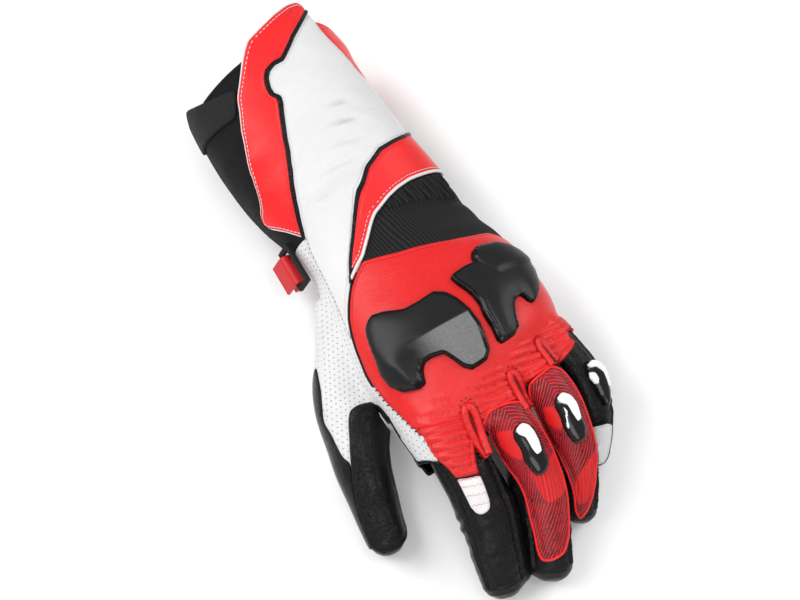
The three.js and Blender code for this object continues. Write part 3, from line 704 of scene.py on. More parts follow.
def cuff_drop(angle):
    """How much further in the cuff's edge lies on the little-finger side."""
    return 14 * ease((np.sin(np.radians(angle)) - 0.6) / 0.4)


def cuff_wall(u, v):
    """Round the cuff by u; v goes out along the outside, over the edge and back inside."""
    angle = 360 * u
    share = np.interp(v, [0, 0.47, 0.5, 0.53, 1], [0, 1, 1.006, 1, 0])
    lift = np.interp(v, [0, 0.47, 0.5, 0.53, 1], [-0.1, 0, -0.9, -1.8, -1.9])
    return tube_point(angle, CUFF_START + (CUFF_END - CUFF_START) * share - share * cuff_drop(angle), lift)


bm = bmesh.new()
wrap(bm, 120, 128, cuff_wall)
bmesh.ops.holes_fill(bm, edges=[e for e in bm.edges if e.is_boundary])
bmesh.ops.recalc_face_normals(bm, faces=bm.faces[:])
mesh = made_mesh(bm, "cuff_lining")
box_pattern(mesh)
finished("cuff_lining", mesh, black_cloth, "black_fabric", "inner_cuff")
BINDING_RADIUS = 1.4
around = np.linspace(0, 360, 140)
binding = tube_point(around, CUFF_END - cuff_drop(around), np.full(len(around), -0.9))
binding[:, 2] = np.maximum(binding[:, 2], BINDING_RADIUS)
cords("cuff_binding", [binding], BINDING_RADIUS, black_cloth, "black_fabric")

# Leather of the cuff: a red flap with a free, piped edge, white leather from the edge down to the thumb,
# and a red sliver on the little-finger side.


def creases(a, s, edge):
    """Slack of the white leather where the cuff bends over the wrist."""
    rows = np.stack([a * 0.35 + s * 0.2, s, 0 * a], axis=-1)
    where = bump_at(a, s, 28, 92, 26, 17) + 0.6 * bump_at(a, s, -8, 62, 18, 16) + 0.12
    return where * (0.5 * waves(rows, 9, 8) + 0.25 * waves(rows, 5, 9))


white_leather = leather("white_leather", WHITE, 0.4, creases=0.05, mottle=0.02, seam=2.3, shine=0.35)
flap_leather = leather("flap_leather", BRIGHT_RED, 0.38, pores=0.015, creases=0.03, seam=2.3, shine=0.3)
RIBBON = [
    (45.5, 152), (21, 142), (7, 134.4), (2, 135), (-1, 133.8), (-3.5, 130), (-5, 125), (-5, 121),
    (-3, 117.5), (-4, 113.5), (-9, 102), (-15, 90), (-22, 80), (-31, 70), (-38, 63), (-46, 56), (-53, 49),
]
FLAP_EDGE = [
    (-54, 51), (-64, 59), (-76, 66), (-77, 70), (-72, 73), (-62, 76), (-56, 80), (-50, 88), (-43, 97),
    (-37, 106), (-31, 117), (-24, 131), (-16, 139.5), (-8, 148), (-1, 155), (6, 156.5), (18, 158.5),
    (32, 160), (43, 159.5), (47, 156.5),
]
WHITE_EDGE = [(-53, 49), (-57, 44.5), (-60, 38), (-62, 30), (-62, 18), (-61.5, 7), (-61, -2), (-61, -11)]
CUFF_WHITE = RIBBON + WHITE_EDGE[1:] + [
    (-58.7, -10), (-54.7, -2.4), (-48.7, 4.6), (-43.7, 9.6), (-38, 14.6), (-31, 22), (-23, 29.5),
    (-17, 35.5), (-8, 45), (0, 54.5), (10, 62.5), (26, 68.5), (43, 70.7), (57, 72), (75, 76), (96, 80),
    (104, 92), (98, 103), (82, 109), (66, 114), (59, 119), (55.5, 125), (50, 133), (47, 143), (46.5, 150),
]
CUFF_SIDE = [
    (46, 145), (118, 131), (118, 100), (98, 102), (80, 108), (64, 113), (56, 118), (53, 124), (48, 133),
]
panel("cuff_white", hand, drawn(body.flat(CUFF_WHITE), 1.3, 1.6), 0.3, 2.1, white_leather, "white_leather",
      "gauntlet_back", relief=creases)
panel("cuff_flap", hand, drawn(body.flat(FLAP_EDGE + RIBBON), 1.3, 1.6), 0.4, 2.7, flap_leather,
      "red_leather", "gauntlet_flap")
panel("cuff_side", body, drawn(body.flat(CUFF_SIDE), 1.6), 0.2, 1.5, flap_leather, "red_leather",
      "gauntlet_side", step=2.2)


def band(name, form, line, width, low, high, finish, slot, *nodes):
    """A flat ribbon sewn along a line."""
    sides = np.vstack([inset(line, width / 2), inset(line, -width / 2)[::-1]])
    return panel(name, form, sides, low, high, finish, slot, *nodes, step=1.6, rim=(0.4,), turn=0.5)


ribbon = drawn(body.flat(RIBBON), 1.0, 1.2, closed=False)
band("cuff_ribbon", hand, ribbon, 2.6, 1.9, 3.1, black_leather, "black_leather", "gauntlet_ribbon")
soft_white = leather("white_piping", WHITE, 0.45, pores=0.03)
flap_edge = drawn(body.flat(FLAP_EDGE), 1.4, closed=False)
white_edge = drawn(body.flat(WHITE_EDGE), 1.4, closed=False)
edges = [on(hand, flap_edge, 1.3), on(hand, white_edge, 1.0)]
cords("flap_piping", edges, 0.7, soft_white, "white_leather")
white_sewing.row(hand, inset(flap_edge, -2.3), 2.75, pitch=2.6, length=1.9, thick=0.5)
black_sewing.row(hand, inset(white_edge, 2.0), 2.15, pitch=2.8, length=1.4, thick=0.35)

# Wedge of red leather over the wrist, with a black cord above it and white piping below.
PIPING = [
    (90, 50.3), (68, 49.3), (45, 49), (29, 48.8), (17, 47.3), (8, 45), (0, 41.3), (-4, 37.8), (-11, 31.4),
    (-21, 23.2), (-28, 20), (-37, 15.5),
]
BORDER = [
    (90, 79), (75, 76), (57, 73), (43, 71.5), (26, 69.4), (10, 63.4), (0, 55.4), (-8, 46.5), (-18, 36),
    (-25, 29.5), (-31, 23.5), (-35, 18), (-38.5, 13.5),
]
WEDGE = BORDER[:-2] + [(-33, 18.5)] + PIPING[-3::-1]
panel("wedge_leather", hand, drawn(body.flat(WEDGE), 1.6), 0.5, 2.4, flap_leather, "red_leather",
      "wrist_wedge", step=1.6)
border = drawn(body.flat(BORDER), 1.4, closed=False)
band("wedge_cord", hand, border, 2.2, 1.8, 3.0, black_leather, "black_leather", "wedge_border")
piping = drawn(body.flat(PIPING), 1.4, closed=False)
cords("wedge_piping", [on(hand, piping, 2.1)], 0.9, soft_white, "white_leather", "wedge_piping")
white_sewing.row(hand, inset(piping, -2.2), 2.5, pitch=2.6, length=1.7, thick=0.42)

# Closure of the cuff: a stiff black strap end with a round nose, on the thumb side.
CLOSURE = [
    (-84, 158), (-92, 156), (-98, 151), (-100, 143), (-97, 136), (-92, 133), (-33, 123), (-29, 128),
    (-25, 133), (-22, 138),
]
black_band = woven("black_band", 0.8, (0.008, 0.022))
panel("closure_band", body, drawn(body.flat(CLOSURE), 1.2, 5.0), 0.3, 1.9, black_band, "black_fabric",
      "closure_strap")
WRIST_BAND = [(86, 49), (84, 42), (252, 43), (252, 57)]
panel("wrist_band", body, drawn(body.flat(WRIST_BAND), 1.6), 0.3, 1.8, black_band, "black_fabric",
      "wrist_strap")
for node, finish in (("strap_loop", black_band), ("strap_tab", flap_leather)):
    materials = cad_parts[node].data.materials
    materials.clear()
    materials.append(finish)

# Fingers: tubes of soft black leather with turned seams along both sides and creases where they bend.


FULLER_SIDES = {  # angle of the fuller side wall, and millimetres that it stands out
    "index_finger": (98, 4.6), "middle_finger": (-102, 5.0), "ring_finger": (-100, 2.6),
}


def finger_relief(name, angle, place):
    """Cross folds at the bends, a raised puckered seam along each side, and the fuller side wall that
    closes the gap to the next finger."""
    middle = np.stack([np.sin(np.radians(angle)) * 13, place * 29, np.cos(np.radians(angle)) * 13], axis=-1)
    folds = waves(middle * (0.35, 1.6, 0.35), 12, len(name)) * 0.6 + waves(middle, 7, 11) * 0.18
    bends = np.exp(-(((place - 2.15) / 0.3) ** 2)) + 0.8 * np.exp(-(((place - 3.05) / 0.25) ** 2))
    free = ease((4.15 - place) / 0.3)
    beside = np.abs(angle) - 58
    seams = 1.2 * np.exp(-((beside / 3.4) ** 2)) - 0.7 * np.exp(-(((beside + 9) / 4) ** 2))
    puckers = 0.22 * np.sin(place * 31 + np.sin(place * 9) * 3) * np.exp(-(((beside + 6) / 8) ** 2))
    toward, wide = FULLER_SIDES.get(name, (0, 0))
    gusset = wide * np.exp(-(((angle - toward) / 27) ** 2))
    gusset = gusset * ease((place - 1.2) / 1.0) * ease((4.7 - place) / 0.6)
    calm = 0.45 if name == "little_finger" else 0.8
    return (folds * (0.25 + bends) + (seams + puckers) * free) * calm + gusset


for name in ("index_finger", "middle_finger", "ring_finger", "little_finger"):
    point = digit_point(name)
    bm = bmesh.new()

    def leather_tube(u, v):
        angle = 360 * u - 180
        place = 0.5 + (len(DIGIT_ROWS[name]) - 0.5) * v
        return point(angle, place, -0.6 + finger_relief(name, angle, place))

    wrap(bm, 150, 170, leather_tube)
    bmesh.ops.holes_fill(bm, edges=[e for e in bm.edges if e.is_boundary])
    bmesh.ops.recalc_face_normals(bm, faces=bm.faces[:])
    finished(name + "_leather", made_mesh(bm, name), black_leather, "black_leather", name)

digits = {name: Form(draped(digit_point(name)), DIGIT_UNIT) for name in DIGIT_ROWS}

# Index finger: red accordion of padded ribs, then a small white panel sewn in red, and the strip of
# perforated white down its side with a black hem.
INDEX_RIBS = [
    (-48, 0.47), (-4, 0.58), (36, 0.68), (36, 0.8), (32, 0.93), (27, 1.05), (18, 1.18), (12, 1.33),
    (10.5, 1.44), (-8, 1.4), (-30, 1.355), (-35, 1.2), (-41, 1.1), (-48, 1.02), (-53, 0.9), (-52.5, 0.78),
    (-50.5, 0.63),
]
RIB_COUNT = 7
RIB_PITCH = 3.95
index = digits["index_finger"]


def rib_start(a):
    """Where the first valley lies, which runs aslant over the finger."""
    return 18 + 0.35 * (a + 1.9)


def rib_relief(a, s, edge):
    return (1.9 * np.abs(np.sin((s - rib_start(a)) * math.pi / RIB_PITCH)) ** 0.6 - 0.9) * ease(edge / 2)


ribs = panel("index_accordion", index, drawn(index.flat(INDEX_RIBS), 1.0, 1.6), -0.4, 1.5, red_leather,
             "red_leather", "index_stretch_panel", step=0.7, relief=rib_relief)
for number in range(RIB_COUNT):
    valley = [(a, rib_start(a) + RIB_PITCH * number) for a in np.arange(-9.0, 5.0, 1.0)]
    dark_sewing.row(index, np.array(valley), 1.0, pitch=2.0, length=1.3, thick=0.42)
INDEX_END = [
    (-29, 1.37), (-28, 1.62), (-26, 1.84), (-21, 1.96), (-14, 2.02), (-4, 2.03), (3, 2.0), (8, 1.9),
    (10, 1.68), (10.5, 1.46), (-8, 1.42),
]
end_leather = leather("white_end_leather", (0.72, 0.70, 0.70), 0.42)
panel("index_end", index, drawn(index.flat(INDEX_END), 1.0, 1.6), -0.3, 1.4, end_leather, "white_leather",
      "index_end_panel", step=1.0)
END_ROWS = [
    ((-27, 1.39), (9.5, 1.47)), ((-26, 1.5), (8, 1.58)), ((-22, 1.65), (8, 1.72)),
    ((-20, 1.82), (6, 1.87)),
]
for first, last in END_ROWS:
    line = even(index.flat([first, last]), 0.9)
    line[:, 1] += 0.22 * np.cos(np.arange(len(line)) * math.pi)
    red_sewing.row(index, line, 1.42, pitch=1.0, length=1.15, thick=0.3)
INDEX_SIDE = [
    (-112, 0.3), (-60, 0.38), (-52, 0.55), (-49, 0.75), (-50, 0.92), (-44, 1.04), (-64, 1.0), (-96, 0.84),
    (-112, 0.8),
]
panel("index_side", index, drawn(index.flat(INDEX_SIDE), 1.2), -0.4, 0.5, white_perforated, "white_leather",
      "index_side_panel", step=1.4)
INDEX_HEM = [(-100, 0.86), (-82, 0.93), (-64, 1.01), (-44, 1.05), (-36, 1.1)]
hem = drawn(index.flat(INDEX_HEM), 1.2, closed=False)
cords("index_hem", [on(index, hem, 0.4)], 0.55, black_leather, "black_leather")
whip_line = drawn(index.flat([(-50, 0.5), (-52, 0.75), (-53, 0.9), (-48, 1.02)]), 1.0, closed=False)
black_sewing.row(index, inset(whip_line, -0.8), 1.3, pitch=2.8, length=1.7, thick=0.75, slant=1.6)

# Middle and ring fingers: dark red leather with fine raised printed lines, edged with bright red piping.
# Beside each slider it is plain bright red, and below the slider it is finely ribbed.


def printed(name):
    """Dark red leather with fine bright lines; tint is above 0 in the plain bright places."""
    f = Finish(name, Specular_IOR_Level=0.3)
    u, v = f.pattern()
    chevrons = (v - (u + 1.0).math("ABSOLUTE") * 0.62) * (2 * math.pi / 1.55)
    slanted = (u * 0.95 + v * 0.3) * (2 * math.pi / 1.45)
    lower = f.step(v, 44, 52)
    upper_line = f.step(chevrons.math("SINE"), 0.0, 0.6) * (1 - lower)
    line = upper_line + f.step(slanted.math("SINE"), 0.1, 0.7) * lower
    plain = f.step(f.marked("tint"), -0.9, 0.7)
    grain = f.noise(1.3, 2)
    worn = f.step(f.noise(7, 3) + grain * 0.25, 0.45, 0.8)
    ground = f.mix(worn, (0.10, 0.003, 0.006, 1), (0.24, 0.006, 0.010, 1))
    lines = f.mix(line * f.step(grain, 0.28, 0.5), ground, (0.55, 0.022, 0.032, 1))
    ribs = (u * (2 * math.pi / 1.7)).math("SINE") * f.step(v, 50, 56)
    bright = f.mix(f.step(ribs, -0.9, 0.0), (0.45, 0.012, 0.014, 1), shade(RED, 1.05))
    f.coloured(f.mix(plain, lines, bright))
    f.set(f.shader.inputs["Roughness"], grain * 0.2 + 0.3)
    f.embossed(line * (1 - plain) * 0.16 + ribs * plain * 0.12 + grain * 0.06)
    return f.material


printed_leather = printed("printed_leather")
PATCHES = {
    "middle_finger": {
        "edge": [
            (-42, 0.75), (-30, 0.73), (-6, 0.75), (10, 0.8), (30, 0.85), (40, 1.0), (46, 1.28), (50, 1.6),
            (52, 2.02), (54, 2.4), (46, 2.85), (38, 3.25), (24, 3.55), (-4, 3.72), (-22, 3.7),
            (-31, 3.45), (-37, 2.95), (-48, 2.3), (-62, 1.85), (-78, 1.62), (-84, 1.4), (-80, 1.1),
            (-66, 0.88),
        ],
        "plain": [
            [
                (-22, 1.8), (-14, 2.1), (-4, 2.36), (2, 2.43), (26, 2.37), (60, 2.28), (60, 1.72),
                (40, 1.68), (14, 1.75), (0, 1.7),
            ],
            [
                (-48, 1.0), (-10, 1.1), (-10, 1.4), (-20, 1.52), (-30, 1.52), (-46, 1.42), (-62, 1.22),
            ],
        ],
    },
    "ring_finger": {
        "edge": [
            (-44, 0.74), (-34, 0.73), (-6, 0.73), (22, 0.73), (42, 0.85), (46, 1.05), (46, 1.3),
            (44, 1.65), (42, 2.05), (40, 2.45), (32, 2.95), (24, 3.45), (10, 3.9), (-4, 4.3), (-13, 3.93),
            (-17, 3.35), (-30, 2.68), (-54, 2.15), (-74, 1.8), (-80, 1.43), (-76, 1.03), (-62, 0.83),
        ],
        "plain": [
            [
                (-8, 2.78), (2, 2.55), (14, 2.36), (30, 2.25), (50, 2.2), (50, 2.9), (28, 3.2),
                (14, 3.45), (-4, 3.65), (-16, 3.3), (-16, 3.0),
            ],
            [(-48, 1.12), (-20, 1.2), (-18, 1.5), (-26, 1.6), (-38, 1.56), (-58, 1.42)],
        ],
    },
}
bright_piping = leather("bright_piping", BRIGHT_RED, 0.45, shine=0.3)


def inside(flat, outline):
    """Whether flat places lie inside a closed outline."""
    within = np.zeros(len(flat), bool)
    for p, q in zip(outline, np.roll(outline, -1, axis=0)):
        crosses = (p[1] > flat[:, 1]) != (q[1] > flat[:, 1])
        at = p[0] + (flat[:, 1] - p[1]) / (q[1] - p[1] + 1e-12) * (q[0] - p[0])
        within ^= crosses & (flat[:, 0] < at)
    return within


def patch_groove(a, s, edge):
    """The sewn groove along a patch's edge."""
    return -0.5 * np.exp(-(((edge - 2.6) / 0.8) ** 2))


for name, shapes in PATCHES.items():
    form = digits[name]
    zones = [drawn(form.flat(zone), 1.0, 1.8) for zone in shapes["plain"]]

    def in_zone(a, s, edge):
        """Millimetres inside the plain bright places, below 0 outside them."""
        flat = np.stack([a, s], axis=-1)
        signs = [np.where(inside(flat, zone), 1, -1) for zone in zones]
        return np.max([edge_distance(flat, zone) * sign for zone, sign in zip(zones, signs)], axis=0)

    loop = drawn(form.flat(shapes["edge"]), 1.2)
    panel(name + "_patch", form, loop, -1.0, 1.6, printed_leather, "printed_leather", name + "_panel",
          step=0.8, relief=patch_groove, tint=in_zone)
    closed_loop = np.vstack([loop, loop[:1]])
    cords(name + "_piping", [on(form, closed_loop, 1.1)], 0.75, bright_piping, "red_leather")

# Sliders: moulded black shells over the finger knuckles, each with white inlays.


def moulded(name, colour, roughness, grit=0.02):
    f = Finish(name, Specular_IOR_Level=0.35, Coat_Weight=0.1, Coat_Roughness=0.1)
    speck = f.noise(0.7, 2)
    f.coloured(f.mix(f.noise(11, 2), shade(colour, 0.85), shade(colour, 1.2)))
    f.set(f.shader.inputs["Roughness"], speck * 0.12 + (roughness - 0.06))
    f.embossed(speck * grit)
    return f.material


gloss_black = moulded("gloss_black", (0.006, 0.006, 0.0065), 0.16)
gloss_white = moulded("gloss_white", (0.82, 0.82, 0.82), 0.2)
SLIDERS = {
    "middle_finger": {
        "shell": [
            (-14, 1.1), (-6, 1.08), (2, 1.06), (12, 1.11), (19, 1.2), (20, 1.35), (18, 1.55), (17, 1.76),
            (7, 1.87), (-4, 1.9), (-13, 1.84), (-23, 1.55), (-19, 1.4), (-21, 1.2),
        ],
        "cap": [
            (-9, 1.11), (2, 1.07), (9, 1.13), (12, 1.23), (12, 1.38), (9, 1.53), (0, 1.55), (-2, 1.45),
            (-3, 1.25), (-9, 1.18),
        ],
        "chip": [(-8, 1.26), (-7, 1.25), (-8, 1.43), (-6, 1.63), (-8, 1.63), (-10, 1.44)],
    },
    "ring_finger": {
        "shell": [
            (-15, 1.12), (-2, 1.06), (8, 1.1), (15, 1.21), (19, 1.33), (17, 1.5), (19, 1.71), (12, 1.92),
            (-2, 1.98), (-11, 1.93), (-19, 1.72), (-22, 1.55), (-20, 1.4), (-21, 1.2),
        ],
        "cap": [
            (-9, 1.11), (2, 1.07), (11, 1.17), (14, 1.3), (11, 1.53), (3, 1.56), (0, 1.4), (-1, 1.25),
            (-8, 1.18),
        ],
        "chip": [
            (-8, 1.24), (-2, 1.25), (0, 1.35), (-5, 1.42), (-7, 1.52), (-9, 1.67), (-14, 1.56),
            (-10, 1.4),
        ],
    },
    "little_finger": {
        "shell": [
            (5, 1.12), (16, 1.08), (29, 1.15), (42, 1.28), (43, 1.6), (39, 1.87), (29, 2.15), (12, 2.17),
            (2, 1.85), (-2, 1.45), (-1, 1.22),
        ],
        "cap": [
            (5, 1.14), (18, 1.11), (30, 1.18), (40, 1.3), (40, 1.55), (34, 1.78), (28, 1.72), (28, 1.42),
            (17, 1.25), (6, 1.21),
        ],
        "chip": [(1, 1.27), (12, 1.32), (14, 1.46), (10, 1.57), (2, 1.54), (-1, 1.38)],
    },
}


def dome(height, reach):
    """Relief that rises from the edge to its height over that reach."""
    return lambda a, s, edge: height * (1 - (1 - np.clip(edge / reach, 0, 1)) ** 2)


for name, shapes in SLIDERS.items():
    form = digits[name]
    base = 0.0 if name == "little_finger" else 1.4
    outlines = {key: drawn(form.flat(shape), 0.7, 0.8) for key, shape in shapes.items()}
    top = base + 2.4
    panel(name + "_shell", form, outlines["shell"], base, top, gloss_black, "armour", name + "_slider",
          step=0.7, relief=dome(2.2, 4.5), turn=0.9)
    panel(name + "_cap", form, outlines["cap"], top, base + 4.7, gloss_white, "white_plastic",
          name + "_inlay", step=0.7, rim=(0.2, 0.25), relief=dome(0.35, 2.0), turn=0.35)
    panel(name + "_chip", form, outlines["chip"], top, base + 4.3, gloss_white, "white_plastic",
          step=0.7, rim=(0.12,), relief=dome(0.4, 1.5), turn=0.4)

# Little finger: a white side panel with a black sewn edge.
little = digits["little_finger"]
SIDE = [
    (-22, 2.75), (0, 2.7), (24, 2.66), (44, 2.8), (52, 3.3), (48, 3.9), (38, 4.35), (16, 4.5), (0, 4.2),
    (-12, 3.75), (-20, 3.2),
]
side_loop = drawn(little.flat(SIDE), 1.2)
panel("little_finger_side", little, side_loop, -0.3, 1.0, white_leather, "white_leather",
      "little_finger_panel", step=1.2)
closed_loop = np.vstack([side_loop, side_loop[:1]])
cords("little_finger_cord", [on(little, closed_loop, 0.4)], 0.6, black_leather, "black_leather")

# Thumb: a long black patch over its back down to the tip, and a black strip along its outer side.
thumb = digits["thumb"]
THUMB_PATCH = [
    (-8, 2.5), (-4, 2.34), (6, 2.24), (30, 2.21), (50, 2.2), (72, 2.22), (86, 2.32), (89, 2.5),
    (84, 2.78), (79, 3.1), (80, 3.6), (86, 4.0), (90, 4.5), (86, 5.0), (70, 5.4), (40, 5.7), (8, 5.8),
    (-34, 5.78), (-56, 5.45), (-58, 4.78), (-48, 4.17), (-32, 3.58), (-20, 3.2), (-12, 2.85),
]


def thumb_relief(a, s, edge):
    """A soft ridge along the sewn edge, and small folds under the web."""
    ridge = 0.7 * np.exp(-(((edge - 1.6) / 1.0) ** 2))
    rows = np.stack([a * 0.5, s, 0 * a], axis=-1)
    return ridge + bump_at(a, s, 6, 76, 9, 9) * 0.6 * waves(rows, 6, 21) + 0.15 * waves(rows, 14, 22)


panel("thumb_patch", thumb, drawn(thumb.flat(THUMB_PATCH), 1.4), -0.2, 1.1, black_leather, "black_leather",
      "thumb_panel", step=1.2, relief=thumb_relief)
THUMB_STRIP = [
    (-66, 1.48), (-58, 1.62), (-52, 1.8), (-49, 1.98), (-51, 2.2), (-57, 2.45), (-47, 2.66), (-41, 2.9),
    (-34, 3.13), (-21, 3.24), (-33, 3.6), (-49, 4.17), (-59, 4.78), (-60, 5.2), (-70, 5.4), (-120, 5.3),
    (-138, 5.0), (-140, 3.4), (-112, 3.0), (-106, 2.4), (-96, 1.9), (-82, 1.6),
]
panel("thumb_strip", thumb, drawn(thumb.flat(THUMB_STRIP), 1.4), -0.3, 0.8, black_leather, "black_leather",
      "thumb_side_panel", step=1.4)

# Web of the thumb: the seam of the palm shows as a thin black cord along the edge of the white.
web = drawn(body.flat([(-80, -51), (-84, -55), (-87, -59), (-86, -65), (-84, -70)]), 1.2, closed=False)
cords("web_cord", [on(hand, web, 0.2)], 0.65, black_leather, "black_leather")
WEB_PATCH = [(-87, -43.2), (-83, -45.2), (-80.5, -48), (-80, -51), (-84, -53.5), (-92, -53), (-94, -47)]
panel("thumb_patch_corner", hand, drawn(body.flat(WEB_PATCH), 1.2), -0.3, 0.9, black_leather,
      "black_leather", step=1.2)

# Rolls between the fingers: narrow padded tubes of red leather, each bent into an upturned U and sewn
# down along both sides.
ROLLS = [
    ([
        (-22, -91), (-21.8, -85), (-21.6, -79), (-21, -74), (-19.8, -70.2), (-17, -67.8), (-14.2, -70.2),
        (-14.4, -75), (-15.9, -80), (-17.4, -86), (-18.6, -92),
    ], 2.2),
    ([
        (6.4, -93), (6.4, -85), (6.4, -80), (6.3, -76), (7.9, -72.8), (10.1, -76), (11.1, -81), (11.1, -86),
        (10.2, -93),
    ], 1.8),
    ([(30.6, -89), (31.1, -80), (31.9, -75), (33.8, -71.8), (35.9, -75.5), (37.5, -81), (39, -89)], 1.7),
]


def eased(line):
    """The line without sudden jumps where the form under it falls away."""
    for _ in range(12):
        line[1:-1] = (line[:-2] + 2 * line[1:-1] + line[2:]) / 4
    return line


roll_leather = leather("roll_leather", RED, 0.36, pores=0.015, creases=0.04, shine=0.36)
crease_shadow_lines = []
for number, (roll, radius) in enumerate(ROLLS, 1):
    line = curve(body.flat(roll), 0.8)
    made = cords(f"knuckle_roll_{number}_leather", [eased(on(hand, line, 1.7))], radius, roll_leather,
                 "red_leather", f"knuckle_roll_{number}")
    beside, over = inset(line, radius + 0.2), inset(line, -radius * 0.2)
    dark_sewing.row(hand, beside, 1.5, pitch=2.6, length=1.6, thick=0.55, slant=0.8)
    dark_sewing.row(hand, over, 1.75 + radius, pitch=3.6, length=0.9, thick=0.4)
    half = len(roll) // 2
    middle = [((a + c) / 2, (b + d) / 2) for (a, b), (c, d) in zip(roll[:half], roll[:half:-1])]
    # A thin dark red cord down the middle of each U, where its two sides meet, is painted shadow of the
    # crease between them.
    crease_shadow_lines.append(eased(on(hand, curve(body.flat(middle), 0.8), 1.9)))
cords("roll_crease_shadows", crease_shadow_lines, 0.5, dark_red_thread_and_crease_shadow, "red_leather")
FOLD_SEAMS = [
    ((-7, -68.5), (4, -75.2)), ((-8, -72.5), (4, -79.6)), ((-9, -76.3), (5, -84.5)),
    ((16, -71.5), (29, -77)), ((16, -75.8), (29, -81.5)), ((42, -76), (60, -81)),
    ((43, -80.5), (60, -85.5)),
]
for first, last in FOLD_SEAMS:
    dark_sewing.row(hand, body.flat([first, last]), 0.9, pitch=2.3, length=1.3, thick=0.4)

# Knuckle guards: moulded black shells, satin on top with a glossy rim, sewn under the red leather.
LARGE_GUARD = [
    (-42.5, -13), (-38, -9.8), (-34, -8.8), (-27, -10.6), (-16, -15.6), (-8, -15.8), (-1, -15), (2, -19),
    (4.5, -25), (6.5, -33), (7, -42), (4.5, -57), (1.5, -60.3), (-5, -59.3), (-8, -56), (-10, -51),
    (-12, -46.3), (-18, -45), (-23, -45.2), (-26.6, -47.5), (-30, -52), (-35, -52.3), (-46, -49.5),
    (-51, -45), (-51, -39), (-47, -30), (-45.5, -22), (-44, -16),
]
SMALL_GUARD = [
    (25, -5), (30, -3), (43, -4), (52, -8), (59, -13), (64, -19), (63.5, -27), (57, -35.5), (52, -39.5),
    (43.5, -44.5), (40, -43), (37, -38), (31, -39), (28, -42), (25.5, -48), (24, -56), (20, -59),
    (15, -59), (10.5, -58.5), (9.3, -55), (10.3, -46), (10.3, -39), (11.3, -33), (10.6, -27), (9.5, -23),
    (7.5, -18), (6.3, -13), (8.5, -11.6), (15, -10.6), (22, -10.8), (22.6, -8),
]


def facet(a, s, slope=0.8):
    """Above 0 on the rough flat facet of the right lobe, and growing with that slope from its left side."""
    return np.minimum(-33.5 - s, (a / HAND_DEGREE + 25) * slope)


# Marks the facet for its roughness and for its painted highlight.
def rough_facet_highlight_mark(a, s, edge):
    return facet(a, s, 0.055)


def large_relief(a, s, edge):
    """Top face inside its crisp edge, with a round roll on the left lobe and a flat facet on the right."""
    angle = a / HAND_DEGREE
    top = 1.1 * (1 - np.exp(-np.maximum(edge - 0.8, 0) / 3))
    roll = 1.7 * np.exp(-(((angle + 36 + 0.12 * (s + 45)) / 7) ** 2)) * ease((-27 - s) / 14)
    valley = -1.0 * np.exp(-(((angle + 22) / 5) ** 2)) * ease((-30 - s) / 8)
    down = np.maximum(facet(a, s), 0)
    return top + (roll + valley - 0.12 * down) * ease((edge - 0.6) / 2)


def small_relief(a, s, edge):
    """Top face with a raised bridge across it and a ridge down its left leg."""
    angle = a / HAND_DEGREE
    top = 1.4 * (1 - np.exp(-np.maximum(edge - 1.0, 0) / 5))
    bridge = 0.9 * ease((angle + 0.5 * (s + 11) - 22) / 1.6)
    left = 0.8 * np.exp(-(((edge - 2.0) / 1.0) ** 2)) * ease((-28 - s) / 6) * ease((22 - angle) / 4)
    return top + (bridge * ease((s + 24) / 5) + left) * ease((edge - 0.6) / 1.2)


def guard_finish(name):
    """Moulded shell, glossy on its rim, and rough on its facet with a painted light grey highlight there;
    attributes of the piece mark both.
    """
    f = Finish(name, Specular_IOR_Level=0.22)
    edge = f.marked("edge")
    rough_facet_and_highlight = f.step(f.marked("tint"), 0.0, 1.0) * f.step(edge, 1.6, 2.2)
    within = f.step(edge, 1.2, 2.4)
    speck = f.noise(0.6, 2)
    face = f.mix(f.noise(14, 2), (0.008, 0.008, 0.009, 1), (0.014, 0.014, 0.015, 1))
    # Painted highlight: speckled light grey colour on the rough facet of the large guard's right lobe,
    # standing in for a lamp's reflection.
    grit = f.mix(speck, (0.06, 0.06, 0.061, 1), (0.26, 0.26, 0.262, 1))
    f.coloured(f.mix(rough_facet_and_highlight, f.mix(within, (0.003, 0.003, 0.003, 1), face), grit))
    f.set(f.shader.inputs["Roughness"], within * 0.16 + speck * 0.08 + rough_facet_and_highlight * 0.15 + 0.12)
    f.embossed(speck * (within * 0.03 + rough_facet_and_highlight * 0.12))
    return f.material


satin_black = guard_finish("guard_black")
rigid = Form(tube_section, HAND_UNIT)
GUARDS = [("large", LARGE_GUARD, large_relief, rough_facet_highlight_mark), ("small", SMALL_GUARD, small_relief, None)]
for name, shape, relief, tint in GUARDS:
    panel(f"{name}_guard", rigid, drawn(rigid.flat(shape), 0.7, 0.9), -1.6, 3.8, satin_black, "armour",
          f"{name}_knuckle_guard", step=0.8, rim=(0.25, 0.6, 0.5), relief=relief, tint=tint, turn=0.6)

black_sewing.sewn("black_stitches", black_thread, "black_leather")
white_sewing.sewn("white_stitches", white_thread, "white_leather")
red_sewing.sewn("red_stitches", red_thread, "red_leather")
dark_sewing.sewn("dark_red_stitches", dark_red_thread_and_crease_shadow, "red_leather")

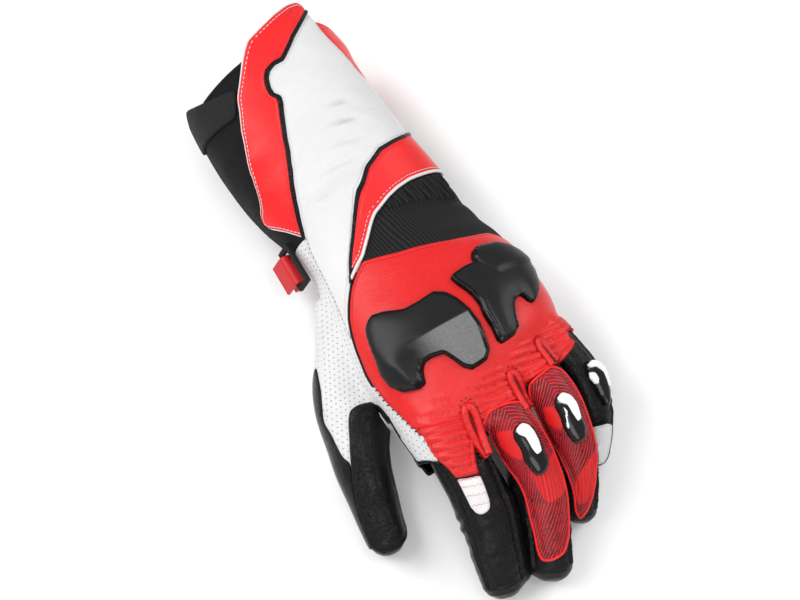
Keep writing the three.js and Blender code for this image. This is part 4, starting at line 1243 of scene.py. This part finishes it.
# Stage: a plain white floor under broad soft lights, and the camera of the photograph.
target = Vector(metres(np.array([0.0, 0.0, 30.0])))
azimuth, elevation, distance = math.radians(-30), math.radians(70), 0.99167
level = math.cos(elevation)
back = Vector((math.sin(azimuth) * level, -math.cos(azimuth) * level, math.sin(elevation)))
camera_data = bpy.data.cameras.new("camera")
camera_data.lens, camera_data.sensor_width = 85, 36
camera = bpy.data.objects.new("camera", camera_data)
camera.location = target + back * distance
camera.rotation_mode = "QUATERNION"
camera.rotation_quaternion = (-back).to_track_quat("-Z", "Y")
bpy.context.scene.collection.objects.link(camera)
bpy.context.scene.camera = camera

bm = bmesh.new()
bmesh.ops.create_grid(bm, x_segments=8, y_segments=8, size=3)
mesh = made_mesh(bm, "floor")
floor_finish = Finish("floor_white", Roughness=0.9)
floor_tones = (0.93, 0.93, 0.93, 1), (0.95, 0.95, 0.95, 1)
floor_finish.coloured(floor_finish.mix(floor_finish.noise(400, 1), *floor_tones))
mesh.materials.append(floor_finish.material)
floor = bpy.data.objects.new("floor", mesh)
floor.location.z = -0.5 * MM
bpy.context.scene.collection.objects.link(floor)

LIGHTS = [  # x, y, z in metres, size, power
    (-0.75, 0.75, 1.05, 0.9, 12), (1.0, -0.1, 0.95, 0.7, 6), (-0.5, -1.0, 1.0, 0.7, 5),
    (-0.45, 0.10, 1.0, 0.25, 1.6), (0.08, -0.22, 1.15, 0.3, 1.4),
]
for number, (x, y, z, size, power) in enumerate(LIGHTS):
    light = bpy.data.lights.new(f"soft_light_{number}", "AREA")
    light.energy, light.size = power, size
    holder = bpy.data.objects.new(light.name, light)
    holder.location = (x, y, z)
    holder.rotation_mode = "QUATERNION"
    holder.rotation_quaternion = (target - holder.location).to_track_quat("-Z", "Y")
    bpy.context.scene.collection.objects.link(holder)
world = bpy.data.worlds.new("studio")
world.use_nodes = True
sky = world.node_tree.nodes["Background"].inputs
sky["Color"].default_value = (1, 1, 1, 1)
sky["Strength"].default_value = 0.48
bpy.context.scene.world = world
bpy.context.scene.view_settings.view_transform = "Standard"
